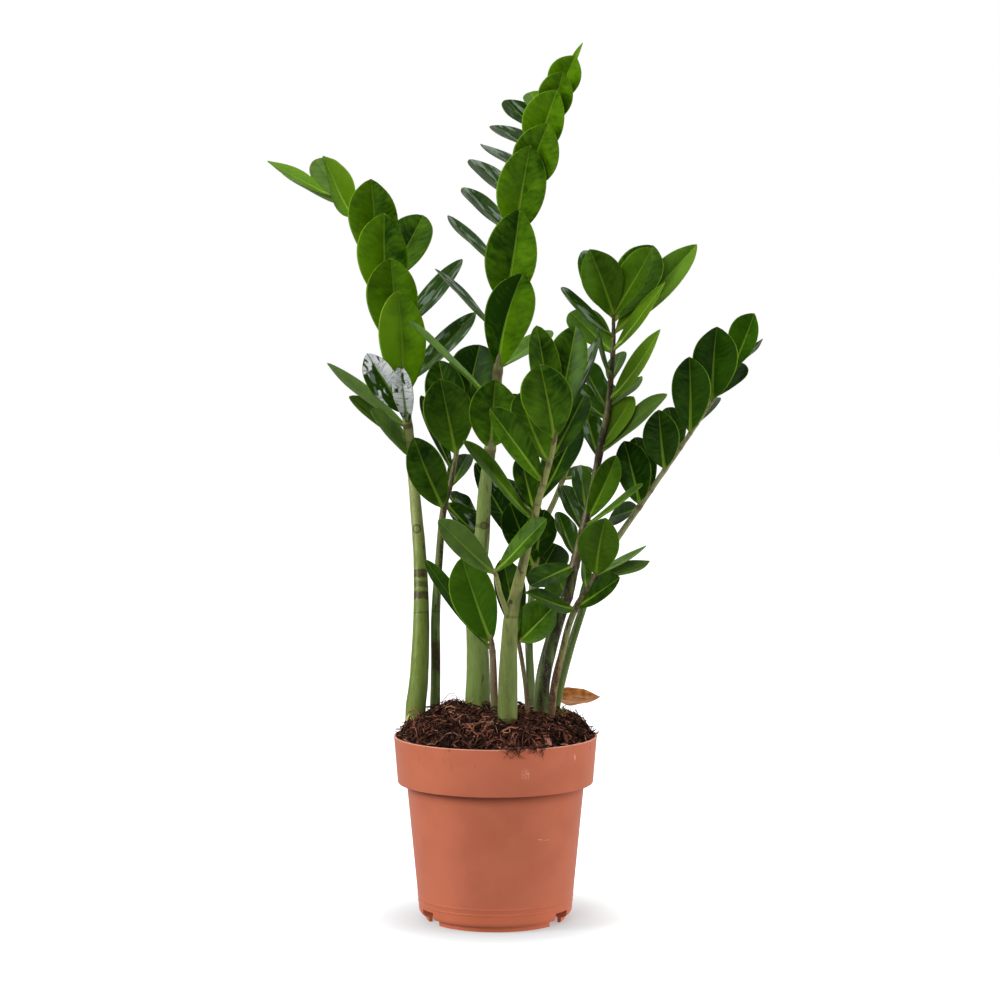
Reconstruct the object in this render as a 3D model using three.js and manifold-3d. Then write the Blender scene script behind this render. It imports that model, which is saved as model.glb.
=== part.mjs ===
// A ZZ plant (Zamioculcas) in a plastic nursery pot.
//
// Millimetres, +Z up, real size. The origin is the middle of the pot's foot, on the surface that the
// pot stands on. The plant is looked at along +Y, so -Y is its front and +X is its right.
//
// Every frond is one solid: a tapering stem with its leaflets fused to it. The fronds' places are
// written as they are seen from the front, in the upright plane through the pot's axis, with a depth
// of their own. inDepth() carries such a place to its depth along the line of sight, so a depth can
// change without changing the front view.

import * as THREE from "three";
import { mergeVertices } from "three/addons/utils/BufferGeometryUtils.js";
import Module from "manifold-3d";

const wasm = await Module();
wasm.setup();

// ---------------------------------------------------------------- driving dimensions

const POT = {
  rimRadius: 85,
  height: 154,
  wall: 1.4,
  collarBottomRadius: 81.8,
  collarDrop: 39.2,
  neckRadius: 74.4,
  bodyBottomRadius: 64.3,
  bodyBottomHeight: 10,
  skirtRadius: 60,
  skirtHeight: 4.3,
  footRadius: 58.4,
  footInnerRadius: 55.6,
  footDraft: 0.4,
  floorUnderside: 5,
  floorTop: 7,
  padRadius: 12,
  notchInnerRadius: 54.5,
  notchOuterRadius: 70,
  notchWidth: 18,
  notchTop: 11.5,
  notchAngles: [-31.2, 88.8, 208.8],
  drainRadius: 4,
  drainRing: 40,
  drainCount: 6,
  drainSides: 12,
  sides: 40,
};

// A point on the round of the body's bottom edge: in from the body, and up from the skirt's edge.
const SKIRT_ROUND = [1.3, 2.1];

const SOIL = {
  gap: 0.35,
  edgeRadius: 83,
  edgeHeight: 151.5,
  moundRise: 24,
  moundRadius: 80,
  moundPower: 0.8,
  lumpHeight: 1.3,
  coarseLumps: [0.19, 0.23],
  fineLumps: [0.41, 0.37],
  surfaceRings: [80, 68, 54, 38, 20],
  sides: 34,
};

const STEM_SIDES = 7;
const STEM_STEP = 30;
const HOLE_GAP = 0.35;

// Spreads the drawn bows over a frond's leaflets.
const BOW_RULE = 2.4;

const LEAF = {
  thickness: 1.0,
  petioleThickness: 1.9,
  petioleHalfWidth: 1.5,
  petioleEnd: 0.07,
  tipHalfWidth: 0.7,
  fullness: 0.6,
  skew: 1.2,
  fold: 11,
  bow: -0.015,
  bowSpread: 0.02,
  stations: [0, 0.07, 0.3, 0.58, 0.82, 1],
};

// The eye that the seen places are written for.
const EYE = new THREE.Vector3(3.8, -2000, 452);

const COLOURS = {
  pot: 0xb9694f,
  soil: 0x3a2318,
  brightLeaf: 0x4f7d12,
  leaf: 0x2f5a17,
  darkLeaf: 0x254a16,
  dryLeaf: 0xa9622a,
};

// ---------------------------------------------------------------- fronds, as seen from the front
//
// stem rows, from the foot up: [x, z, depth y, radius]
// leaflet rows: [z where it leaves the stem, tip x, tip z, tip depth y, width, roll, bow]
// Roll 0 turns a leaflet's upper face to the front, and a positive roll turns that face to the right
// of the leaflet's own direction. Bow is how far the middle rises out of the upper face, as a share
// of the length, and is drawn by rule where the row leaves it out. LEANS carries whole fronds further
// back, or forward where it is negative, the higher they are.

const FRONDS = {
  frond_a: [
    {
      stem: [
        [-60, 124, 16, 8.2], [-67, 165, 17, 8.8], [-64, 202, 17, 8], [-62, 252, 19, 6.8],
        [-63, 302, 22, 5.6], [-67, 352, 25, 4.8], [-71, 397, 24, 4.2], [-77, 442, 20, 3.6],
        [-88, 502, 14, 2.9], [-103, 552, 8, 2.3], [-122, 590, 2, 1.7], [-138, 604, -2, 1.1],
      ],
      leaves: [
        [386, -104, 425, -8, 32, 70, 0], [398, -122, 437, 22, 36, 66, -0.01],
        [410, -140, 465, 40, 34, 72, -0.02], [414, -79, 463, -38, 18, -6],
        [422, -107, 473, -18, 27, -8], [435, -81, 525, -24, 40, 2],
        [446, -17, 507, 62, 34, -58, -0.03], [472, -87, 552, -30, 44, -5],
        [486, -28, 551, 66, 34, -58, -0.03], [509, -92, 589, -36, 44, -8],
        [526, -60, 587, 58, 42, -20, -0.04], [541, -103, 617, -42, 43, -8],
        [584, -143, 636, -46, 36, 34], [590, -149, 633, 24, 30, 20, 0.03],
        [596, -177, 622, 12, 24, 74, -0.03], [602, -189, 632, -14, 28, 64, -0.01],
      ],
    },
  ],
  frond_b: [
    {
      stem: [
        [-53, 127, 36, 5.2], [-51, 167, 35, 4.4], [-50, 212, 33, 4], [-50, 252, 30, 3.9], [-47, 302, 26, 3.2],
        [-43, 344, 22, 2.8], [-37, 366, 21, 2.3], [-32, 392, 21, 1.9], [-27, 414, 24, 1.5], [-24, 432, 28, 1],
      ],
      leaves: [
        [343, -68, 403, -22, 32, 4], [348, -12, 318, 58, 26, -40], [356, -15, 336, 70, 24, -52],
        [360, -23, 389, 64, 20, -30], [374, -62, 438, 34, 24, 56], [388, -46, 452, -18, 42, 2],
        [400, -47, 467, 30, 34, 8], [410, -37, 466, 52, 26, -4], [422, -13, 480, 50, 42, -6],
      ],
    },
  ],
  frond_c: [
    {
      stem: [
        [-13, 130, 17, 11.5], [-15, 174, 17, 11], [-14.5, 202, 17, 10], [-15, 227, 17, 9.2],
        [-16.5, 257, 17, 8.2],
        [-14, 292, 16, 7.2], [-11, 322, 15, 6.4], [-9, 357, 14, 5.6], [-4.8, 390, 12, 4.8], [-1, 422, 10, 4.4],
        [2, 457, 8, 4], [6, 497, 5, 3.5], [12, 547, 0, 3], [21, 597, -6, 2.5], [35, 645, -12, 2],
        [48, 680, -18, 1.6], [59, 703, -24, 1.2],
      ],
      leaves: [
        [393, 0, 451, -28, 42, 0], [400, 22, 438, 44, 30, -20], [431, -72, 499, -52, 32, 82, 0],
        [456, 23, 539, -26, 42, -10], [460, 45, 492, 58, 32, -60], [490, -50, 543, 30, 32, 80, -0.02],
        [513, 20, 592, -32, 43, -8], [540, -39, 587, 34, 34, 75, -0.05], [572, 29, 645, -38, 46, -8],
        [570, -26, 610, 36, 38, 66, -0.035], [597, -19, 633, 32, 40, 64, -0.03], [609, 44, 663, -42, 42, -8],
        [621, -10, 645, 26, 34, 68, -0.02], [636, 51, 690, -46, 35, -10], [640, -1, 661, 20, 36, 64, -0.02],
        [658, 56, 705, -46, 29, -10], [654, 9, 682, 8, 34, 54, -0.04], [670, 28, 688, 22, 20, 20],
        [676, 66, 718, -44, 27, -4], [692, 72, 729, -32, 7, -40],
      ],
    },
  ],
  frond_d: [
    {
      stem: [
        [9, 124, -38, 9], [10, 167, -38, 8.4], [10.5, 202, -38, 7.8], [11.5, 232, -39, 6.6], [13, 252, -40, 6],
        [17, 272, -41, 5], [23, 297, -43, 4], [29, 322, -45, 3.2], [35, 347, -47, 2.9], [42, 372, -50, 2.6],
        [48, 394, -52, 2.1], [51, 410, -52, 1.2],
      ],
      leaves: [
        [333, -27, 400, -76, 28, 66, 0.01], [339, 21, 386, -24, 28, 34], [348, 62, 394, -14, 30, -40],
        [364, -5, 427, -88, 28, 34], [380, 20, 440, -34, 30, 24], [382, 74, 438, -10, 30, -34],
        [400, 37, 464, -76, 41, -6], [403, 34, 496, -48, 26, 16], [405, 67, 496, -38, 34, -20],
      ],
    },
    {
      stem: [
        [13, 248, -41, 3.6], [9, 259, -44, 2.6], [4, 272, -48, 2.2], [1, 285, -51, 2], [-1, 293, -52, 1.2],
      ],
      leaves: [
        [288, -48, 334, -66, 24, 30], [290, 43, 335, -72, 24, -50],
      ],
    },
  ],
  frond_e: [
    {
      stem: [
        [-1, 134, -11, 3.6], [-1, 174, -11, 3.2], [-1.5, 202, -12, 3], [-2.5, 224, -13, 2.6],
        [-4, 238, -15, 1.6],
      ],
      leaves: [
        [224, -59, 301, 0, 26, 62], [230, -28, 303, -26, 37, 4],
      ],
    },
  ],
  frond_f: [
    {
      stem: [
        [28, 140, -14, 2.6], [27, 174, -14, 2.2], [25, 197, -15, 1.9], [20, 228, -18, 1.8], [17, 242, -19, 1.2],
      ],
      leaves: [
        [231, 48, 260, -22, 26, -24], [236, 6, 302, 0, 26, 10],
      ],
    },
  ],
  frond_g: [
    {
      stem: [
        [37, 126, -3, 7.2], [38, 172, -3, 6.6], [40, 202, -3, 6.2], [47, 232, -1, 5.9], [53, 252, 1, 5.4],
        [60.5, 272, 3, 4.7], [65, 292, 5, 4.3], [70, 312, 6, 4], [75, 332, 7, 3.7], [79.5, 352, 8, 3.4],
        [83.5, 372, 8, 3.2], [88, 398, 8, 3], [93, 422, 7, 2.8], [96, 452, 5, 2.3], [98, 482, 2, 1.9],
        [98, 504, 0, 1.3],
      ],
      leaves: [
        [270, 52, 286, 44, 20, -10], [296, 28, 280, -18, 26, 50], [302, 52, 341, 30, 22, 44],
        [324, 55, 363, 34, 26, 36], [329, 123, 364, -34, 22, -80], [333, 101, 388, -14, 22, -10],
        [338, 71, 380, 40, 20, 18], [386, 76, 424, 34, 22, 24], [389, 143, 439, -2, 32, -58, 0.02],
        [400, 115, 436, 30, 22, -34], [418, 60, 449, 26, 26, 40], [428, 122, 454, 34, 26, -62],
        [426, 72, 468, 36, 26, 46], [434, 137, 493, -30, 30, -56, -0.03], [448, 104, 474, 44, 20, -50],
        [454, 84, 492, -34, 26, 78], [472, 62, 507, 30, 30, 22], [474, 141, 532, -28, 30, -60, -0.01],
        [486, 54, 527, -24, 30, 56, -0.02], [488, 167, 563, 34, 36, -34], [498, 131, 562, 24, 42, -14],
        [501, 73, 558, 22, 28, 14], [504, 78, 559, -30, 36, 8], [505, 130, 560, -38, 30, -38],
      ],
    },
  ],
  frond_h: [
    {
      stem: [
        [46, 134, -13, 3.6], [47, 174, -13, 3.2], [50, 200, -14, 3], [56, 224, -16, 2.8], [62, 248, -18, 2.7],
        [69, 264, -19, 2.5], [79, 280, -21, 2.1], [86, 292, -22, 1.5],
      ],
      leaves: [
        [259, 24, 274, -50, 26, 62], [260, 104, 286, -46, 24, -46], [264, 83, 286, 14, 24, 30],
        [274, 74, 303, -12, 20, 60], [285, 129, 300, 6, 26, -68], [287, 126, 313, 26, 22, -80],
        [288, 92, 336, -58, 34, -4],
      ],
    },
  ],
  frond_i: [
    {
      stem: [
        [50, 132, 30, 4.4], [50, 174, 30, 4], [57, 207, 29, 3.8], [64, 232, 28, 3.5], [71, 254, 27, 3.3],
        [80, 280, 25, 3], [92, 304, 23, 2.8], [106, 325, 21, 2.6], [122, 348, 19, 2.4], [137, 370, 17, 2.2],
        [153, 393, 15, 2], [168, 415, 12, 1.8], [181, 434, 10, 1.6], [194, 454, 8, 1.3], [201, 466, 6, 1],
      ],
      leaves: [
        [344, 95, 336, 56, 26, 56], [346, 107, 400, 14, 30, 8], [359, 116, 403, 40, 26, -4],
        [376, 136, 426, -30, 31, -2], [394, 144, 428, 46, 22, 8], [406, 161, 470, -36, 33, -2],
        [414, 184, 436, 52, 20, -46], [433, 184, 495, -40, 38, -6], [436, 205, 465, 34, 26, -30],
        [458, 215, 506, -14, 28, -28], [462, 222, 485, 26, 22, -74],
      ],
    },
  ],
  frond_j: [
    {
      stem: [
        [32, 130, 26, 4], [31, 174, 26, 3.6], [29, 207, 28, 3.4], [28, 234, 31, 3.3], [30, 268, 35, 3],
        [34, 302, 40, 2.8], [42, 334, 44, 2.6], [50, 352, 46, 2.4], [60, 378, 48, 2.2], [67, 398, 49, 1.8],
        [71, 413, 50, 1.1],
      ],
      leaves: [
        [292, 52, 315, 70, 26, -20], [293, 12, 348, 40, 28, 12], [298, -17, 382, 62, 22, 20],
        [300, 41, 343, 22, 28, -4], [332, -2, 368, 74, 24, 34], [368, 79, 378, 84, 18, -50],
        [386, 24, 432, 84, 30, 16], [400, 44, 464, 96, 30, 6], [406, 96, 448, 92, 30, -24],
      ],
    },
  ],
};

// How far back each frond leans at LEAN.height above LEAN.start. The others don't lean.
const LEANS = {
  frond_a: 44, frond_b: 18, frond_c: -18, frond_d: -70, frond_g: 36, frond_h: -90, frond_i: 30, frond_j: 100,
};
const LEAN = { start: 162, height: 300, power: 1.5 };

// A dead, dry leaf at the back of the soil, built as the fronds are.
const DRY_LEAF = [
  {
    stem: [[47, 162, 44, 2.2], [49, 176, 46, 2], [52, 186, 48, 1.6]],
    leaves: [[184, 88, 186, 46, 22, -52]],
  },
];

// ---------------------------------------------------------------- places and meshes

function leanAt(name, z) {
  const above = Math.max(0, (z - LEAN.start) / LEAN.height);
  return (LEANS[name] ?? 0) * above ** LEAN.power;
}

// The frond's rows with its lean added to their depths. A leaflet moves with the place it grows from.
function leaningBranches(name, branches) {
  return branches.map(({ stem, leaves }) => ({
    stem: stem.map(([x, z, y, radius]) => [x, z, y + leanAt(name, z), radius]),
    leaves: leaves.map(([joinHeight, tipX, tipZ, tipY, ...rest]) => (
      [joinHeight, tipX, tipZ, tipY + leanAt(name, joinHeight), ...rest]
    )),
  }));
}

function inDepth(x, z, y) {
  const reach = 1 + y / -EYE.y;
  return new THREE.Vector3(EYE.x + (x - EYE.x) * reach, y, EYE.z + (z - EYE.z) * reach);
}

function toSolid(geometry) {
  const bare = geometry.index ? geometry.toNonIndexed() : geometry.clone();
  bare.deleteAttribute("normal");
  bare.deleteAttribute("uv");
  const merged = mergeVertices(bare, 1e-4);
  const mesh = new wasm.Mesh({
    numProp: 3,
    vertProperties: new Float32Array(merged.attributes.position.array),
    triVerts: new Uint32Array(merged.index.array),
  });
  return new wasm.Manifold(mesh);
}

function toGeometry(solid) {
  const mesh = solid.getMesh();
  const geometry = new THREE.BufferGeometry();
  geometry.setAttribute("position", new THREE.BufferAttribute(new Float32Array(mesh.vertProperties), 3));
  geometry.setIndex(new THREE.BufferAttribute(new Uint32Array(mesh.triVerts), 1));
  geometry.computeVertexNormals();
  return geometry;
}

// Skins rings of the same number of points, in order from the first ring to the last, and closes
// both ends. Every ring turns anticlockwise, seen from the last ring's side.
function skinRings(rings) {
  const sides = rings[0].length;
  const positions = rings.flat().flatMap((point) => [point.x, point.y, point.z]);
  const faces = [];
  for (let ring = 0; ring < rings.length - 1; ring += 1) {
    for (let side = 0; side < sides; side += 1) {
      const here = ring * sides + side;
      const next = ring * sides + ((side + 1) % sides);
      faces.push(here, next, next + sides, here, next + sides, here + sides);
    }
  }
  const last = (rings.length - 1) * sides;
  for (let side = 1; side < sides - 1; side += 1) {
    faces.push(0, side + 1, side);
    faces.push(last, last + side, last + side + 1);
  }
  const geometry = new THREE.BufferGeometry();
  geometry.setAttribute("position", new THREE.Float32BufferAttribute(positions, 3));
  geometry.setIndex(faces);
  return geometry;
}

// ---------------------------------------------------------------- stems

// A smooth curve through the stem's rows, with the radius as a fourth number.
function stemCurve(rows) {
  const places = rows.map(([x, z, y]) => inDepth(x, z, y));
  const curve = new THREE.CatmullRomCurve3(places, false, "centripetal");
  const radiusAt = (t) => {
    const place = t * (rows.length - 1);
    const row = Math.min(Math.floor(place), rows.length - 2);
    return THREE.MathUtils.lerp(rows[row][3], rows[row + 1][3], place - row);
  };
  return { curve, radiusAt, rows };
}

// The curve's parameter where it is seen at height z from the front.
function parameterAtSeenHeight({ rows }, z) {
  const last = rows.length - 2;
  const row = Math.min(last, Math.max(0, rows.findIndex((entry) => entry[1] > z) - 1));
  const above = z >= rows[rows.length - 1][1] ? last : row;
  const share = (z - rows[above][1]) / (rows[above + 1][1] - rows[above][1]);
  return (above + THREE.MathUtils.clamp(share, 0, 1)) / (rows.length - 1);
}

function stemSolid(stem, extraRadius) {
  const length = stem.curve.getLength();
  const steps = Math.max(4, Math.round(length / STEM_STEP));
  const rings = [];
  for (let step = 0; step <= steps; step += 1) {
    const t = step / steps;
    const centre = stem.curve.getPoint(t);
    const along = stem.curve.getTangent(t);
    const right = new THREE.Vector3(0, 1, 0).cross(along).normalize();
    const back = along.clone().cross(right);
    const radius = stem.radiusAt(t) + extraRadius;
    const ring = [];
    for (let side = 0; side < STEM_SIDES; side += 1) {
      const angle = (side / STEM_SIDES) * 2 * Math.PI;
      ring.push(
        centre.clone()
          .addScaledVector(right, radius * Math.cos(angle))
          .addScaledVector(back, radius * Math.sin(angle)),
      );
    }
    rings.push(ring);
  }
  return toSolid(skinRings(rings));
}

// ---------------------------------------------------------------- leaflets

// Half the blade's width at share u of the leaflet's length, from the stem to the tip.
function leafHalfWidth(u, width) {
  if (u <= LEAF.petioleEnd) {
    return LEAF.petioleHalfWidth;
  }
  const along = (u - LEAF.petioleEnd / 2) / (1 - LEAF.petioleEnd / 2);
  const blade = (width / 2) * Math.sin(Math.PI * along ** LEAF.skew) ** LEAF.fullness;
  return Math.max(blade || 0, LEAF.tipHalfWidth);
}

// The leaflet's own directions: along it, across it to the right, and out of its upper face.
function leafFrame(base, tip, roll) {
  const along = tip.clone().sub(base).normalize();
  const front = new THREE.Vector3(0, -1, 0);
  const facing = front.addScaledVector(along, -front.dot(along)).normalize();
  const across = along.clone().cross(facing);
  const angle = THREE.MathUtils.degToRad(roll);
  const upper = facing.clone().multiplyScalar(Math.cos(angle)).addScaledVector(across, Math.sin(angle));
  return { along, upper, across: along.clone().cross(upper) };
}

function leafSolid(base, tip, width, roll, bowShare, order) {
  const length = base.distanceTo(tip);
  const { along, upper, across } = leafFrame(base, tip, roll);
  const fold = THREE.MathUtils.degToRad(LEAF.fold);
  const bow = length * (bowShare ?? LEAF.bow + LEAF.bowSpread * Math.sin(order * BOW_RULE));
  const rings = LEAF.stations.map((u) => {
    const half = leafHalfWidth(u, width);
    const inPetiole = THREE.MathUtils.clamp(1 - u / LEAF.petioleEnd, 0, 1);
    const thickness = THREE.MathUtils.lerp(LEAF.thickness, LEAF.petioleThickness, inPetiole);
    const rise = bow * 4 * u * (1 - u);
    const middle = base.clone().addScaledVector(along, length * u).addScaledVector(upper, rise);
    const at = (side, down) => middle.clone()
      .addScaledVector(across, side * half * Math.cos(fold))
      .addScaledVector(upper, Math.abs(side) * half * Math.sin(fold) - down * thickness);
    return [at(0, 0), at(1, 0), at(1, 1), at(0, 1), at(-1, 1), at(-1, 0)];
  });
  return toSolid(skinRings(rings));
}

function branchSolids({ stem, leaves }) {
  const path = stemCurve(stem);
  const blades = leaves.map(([joinHeight, tipX, tipZ, tipY, width, roll, bow], order) => {
    const base = path.curve.getPoint(parameterAtSeenHeight(path, joinHeight));
    return leafSolid(base, inDepth(tipX, tipZ, tipY), width, roll, bow, order);
  });
  return [stemSolid(path, 0), ...blades];
}

// Where leaflets crowd, fusing can seal a small hollow or cut off a scrap. Each is a shell of its
// own, so keeping the largest shell fills the hollows and drops the scraps.
function largestShell(solid) {
  return solid.decompose().sort((one, other) => other.volume() - one.volume())[0];
}

function frondSolid(branches) {
  return largestShell(wasm.Manifold.union(branches.flatMap(branchSolids)));
}

// The hole that a frond's foot stands in: its stem, a little fatter and longer.
function footHole([{ stem }]) {
  const deeper = [...stem];
  deeper[0] = [stem[0][0], stem[0][1] - HOLE_GAP, stem[0][2], stem[0][3]];
  return stemSolid(stemCurve(deeper), HOLE_GAP);
}

// ---------------------------------------------------------------- pot and soil

function lathe(profile, sides) {
  const points = profile.map(([radius, height]) => new THREE.Vector2(radius, height));
  return new THREE.LatheGeometry(points, sides).rotateX(Math.PI / 2);
}

// The wall's inner face, or a face that keeps a gap from it, from the floor up to the collar.
function innerWallProfile(gap) {
  const inset = POT.wall + gap;
  const ledge = POT.height - POT.collarDrop + inset;
  return [
    [0, POT.floorTop + gap],
    [POT.skirtRadius - gap, POT.floorTop + gap],
    [POT.bodyBottomRadius - inset, POT.bodyBottomHeight],
    [POT.neckRadius - inset, ledge],
    [POT.collarBottomRadius - inset, ledge],
  ];
}

// The notches in the foot, or with grow the blocks that leave a wall of that thickness round them.
function notchBlocks(grow) {
  const length = POT.notchOuterRadius - POT.notchInnerRadius + grow;
  return POT.notchAngles.map((degrees) => {
    const block = new THREE.BoxGeometry(length, POT.notchWidth + 2 * grow, 2 * (POT.notchTop + grow));
    block.translate(POT.notchOuterRadius - length / 2, 0, 0).rotateZ(THREE.MathUtils.degToRad(degrees));
    return toSolid(block);
  });
}

function potSolid() {
  const outside = [
    [0, 0],
    [POT.padRadius, 0],
    [POT.padRadius + POT.footDraft, POT.floorUnderside],
    [POT.footInnerRadius - POT.footDraft, POT.floorUnderside],
    [POT.footInnerRadius, 0],
    [POT.footRadius, 0],
    [POT.footRadius + POT.footDraft, POT.skirtHeight],
    [POT.skirtRadius, POT.skirtHeight],
    [POT.bodyBottomRadius - SKIRT_ROUND[0], POT.skirtHeight + SKIRT_ROUND[1]],
    [POT.bodyBottomRadius, POT.bodyBottomHeight],
    [POT.neckRadius, POT.height - POT.collarDrop],
    [POT.collarBottomRadius, POT.height - POT.collarDrop],
    [POT.rimRadius, POT.height],
    [0, POT.height],
  ];
  const inside = [
    ...innerWallProfile(0),
    [POT.rimRadius - POT.wall, POT.height],
    [POT.rimRadius - POT.wall, POT.height + POT.wall],
    [0, POT.height + POT.wall],
  ];
  const hollow = wasm.Manifold.difference([toSolid(lathe(inside, POT.sides)), ...notchBlocks(POT.wall)]);
  const drains = Array.from({ length: POT.drainCount }, (_, index) => {
    const { drainRadius, drainSides, floorTop } = POT;
    const drain = new THREE.CylinderGeometry(drainRadius, drainRadius, 3 * floorTop, drainSides);
    drain.rotateX(Math.PI / 2).translate(POT.drainRing, 0, floorTop);
    return toSolid(drain.rotateZ((index / POT.drainCount) * 2 * Math.PI));
  });
  const body = toSolid(lathe(outside, POT.sides));
  return wasm.Manifold.difference([body, hollow, ...notchBlocks(0), ...drains]);
}

function soilHeight(radius) {
  const inside = Math.max(0, 1 - (radius / SOIL.moundRadius) ** 2);
  return SOIL.edgeHeight + SOIL.moundRise * inside ** SOIL.moundPower;
}

// Small lumps, so the surface isn't a smooth dome.
function soilLump(x, y) {
  const coarse = Math.sin(x * SOIL.coarseLumps[0] + 1) * Math.cos(y * SOIL.coarseLumps[1]);
  const fine = Math.sin(x * SOIL.fineLumps[0] - y * SOIL.fineLumps[1]) / 2;
  return SOIL.lumpHeight * (coarse + fine);
}

function soilSolid(holes) {
  const edge = [SOIL.edgeRadius, SOIL.edgeHeight];
  const surface = SOIL.surfaceRings.map((radius) => [radius, soilHeight(radius)]);
  const profile = [
    ...innerWallProfile(SOIL.gap),
    edge,
    ...surface,
    [0, soilHeight(0)],
  ];
  const fill = lathe(profile, SOIL.sides);
  const place = fill.attributes.position;
  for (let index = 0; index < place.count; index += 1) {
    if (place.getZ(index) > SOIL.edgeHeight) {
      place.setZ(index, place.getZ(index) + soilLump(place.getX(index), place.getY(index)));
    }
  }
  return wasm.Manifold.difference([toSolid(fill), ...notchBlocks(POT.wall + SOIL.gap), ...holes]);
}

// ---------------------------------------------------------------- the object

function material(name, color, roughness) {
  return new THREE.MeshStandardMaterial({ name, color, roughness, metalness: 0 });
}

const MATERIALS = {
  pot: material("pot plastic", COLOURS.pot, 0.55),
  soil: material("soil", COLOURS.soil, 0.95),
  brightLeaf: material("bright leaf", COLOURS.brightLeaf, 0.35),
  leaf: material("leaf", COLOURS.leaf, 0.32),
  darkLeaf: material("dark leaf", COLOURS.darkLeaf, 0.3),
  dryLeaf: material("dry leaf", COLOURS.dryLeaf, 0.8),
};

const FINISHES = {
  frond_a: MATERIALS.brightLeaf,
  frond_c: MATERIALS.brightLeaf,
  frond_i: MATERIALS.darkLeaf,
  frond_e: MATERIALS.darkLeaf,
  dry_leaf: MATERIALS.dryLeaf,
};

function piece(name, solid, finish) {
  const mesh = new THREE.Mesh(toGeometry(solid), finish);
  mesh.name = name;
  return mesh;
}

const plantPieces = Object.entries({ ...FRONDS, dry_leaf: DRY_LEAF })
  .map(([name, branches]) => ({ name, branches: leaningBranches(name, branches) }));

const group = new THREE.Group();
group.name = "potted_zz_plant";
group.add(piece("pot", potSolid(), MATERIALS.pot));
group.add(piece("soil", soilSolid(plantPieces.map(({ branches }) => footHole(branches))), MATERIALS.soil));
for (const { name, branches } of plantPieces) {
  group.add(piece(name, frondSolid(branches), FINISHES[name] ?? MATERIALS.leaf));
}

export default group;
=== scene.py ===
"""A potted ZZ plant: fine fronds, pot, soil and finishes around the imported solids.

Places and sizes are in millimetres, in the part's own frame: +Z up, -Y to the front, the origin in
the middle of the pot's foot. Blender's objects are in metres.
"""

import math
import random
from collections import namedtuple

import bmesh
import bpy
import numpy as np
from mathutils import Matrix, Vector, noise


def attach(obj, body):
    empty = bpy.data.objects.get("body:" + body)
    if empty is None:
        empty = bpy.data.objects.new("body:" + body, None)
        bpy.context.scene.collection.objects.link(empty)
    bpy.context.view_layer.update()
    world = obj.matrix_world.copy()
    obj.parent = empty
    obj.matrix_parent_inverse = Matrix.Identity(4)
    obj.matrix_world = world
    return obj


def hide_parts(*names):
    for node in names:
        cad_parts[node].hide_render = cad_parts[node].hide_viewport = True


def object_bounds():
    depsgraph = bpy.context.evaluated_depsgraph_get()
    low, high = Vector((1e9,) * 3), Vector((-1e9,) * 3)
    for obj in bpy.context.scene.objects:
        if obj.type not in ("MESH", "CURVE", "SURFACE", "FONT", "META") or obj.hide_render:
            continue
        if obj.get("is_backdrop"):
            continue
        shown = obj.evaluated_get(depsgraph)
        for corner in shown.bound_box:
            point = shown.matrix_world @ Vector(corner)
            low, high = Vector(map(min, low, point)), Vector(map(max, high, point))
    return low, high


MM = 0.001
TURN = 2 * math.pi

# ---------------------------------------------------------------- the plant's rows
#
# The fronds' places are written as they are seen from the front, in the upright plane through the
# pot's axis, with a depth of their own. in_depth() carries a place to its depth along the line of
# sight from EYE.
#
# stem rows, from the foot up: (x, z, depth y, radius)
# leaflet rows: (z where it leaves the stem, tip x, tip z, tip depth y, width, roll, bow)
# Roll 0 turns a leaflet's upper face to the front, and a positive roll turns that face to the right
# of the leaflet's own direction. Bow is how far the middle rises out of the upper face, as a share
# of the length, and is drawn by rule where the row leaves it out.

EYE = np.array([3.8, -2000.0, 452.0])
FRONT = np.array([0.0, -1.0, 0.0])

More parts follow.
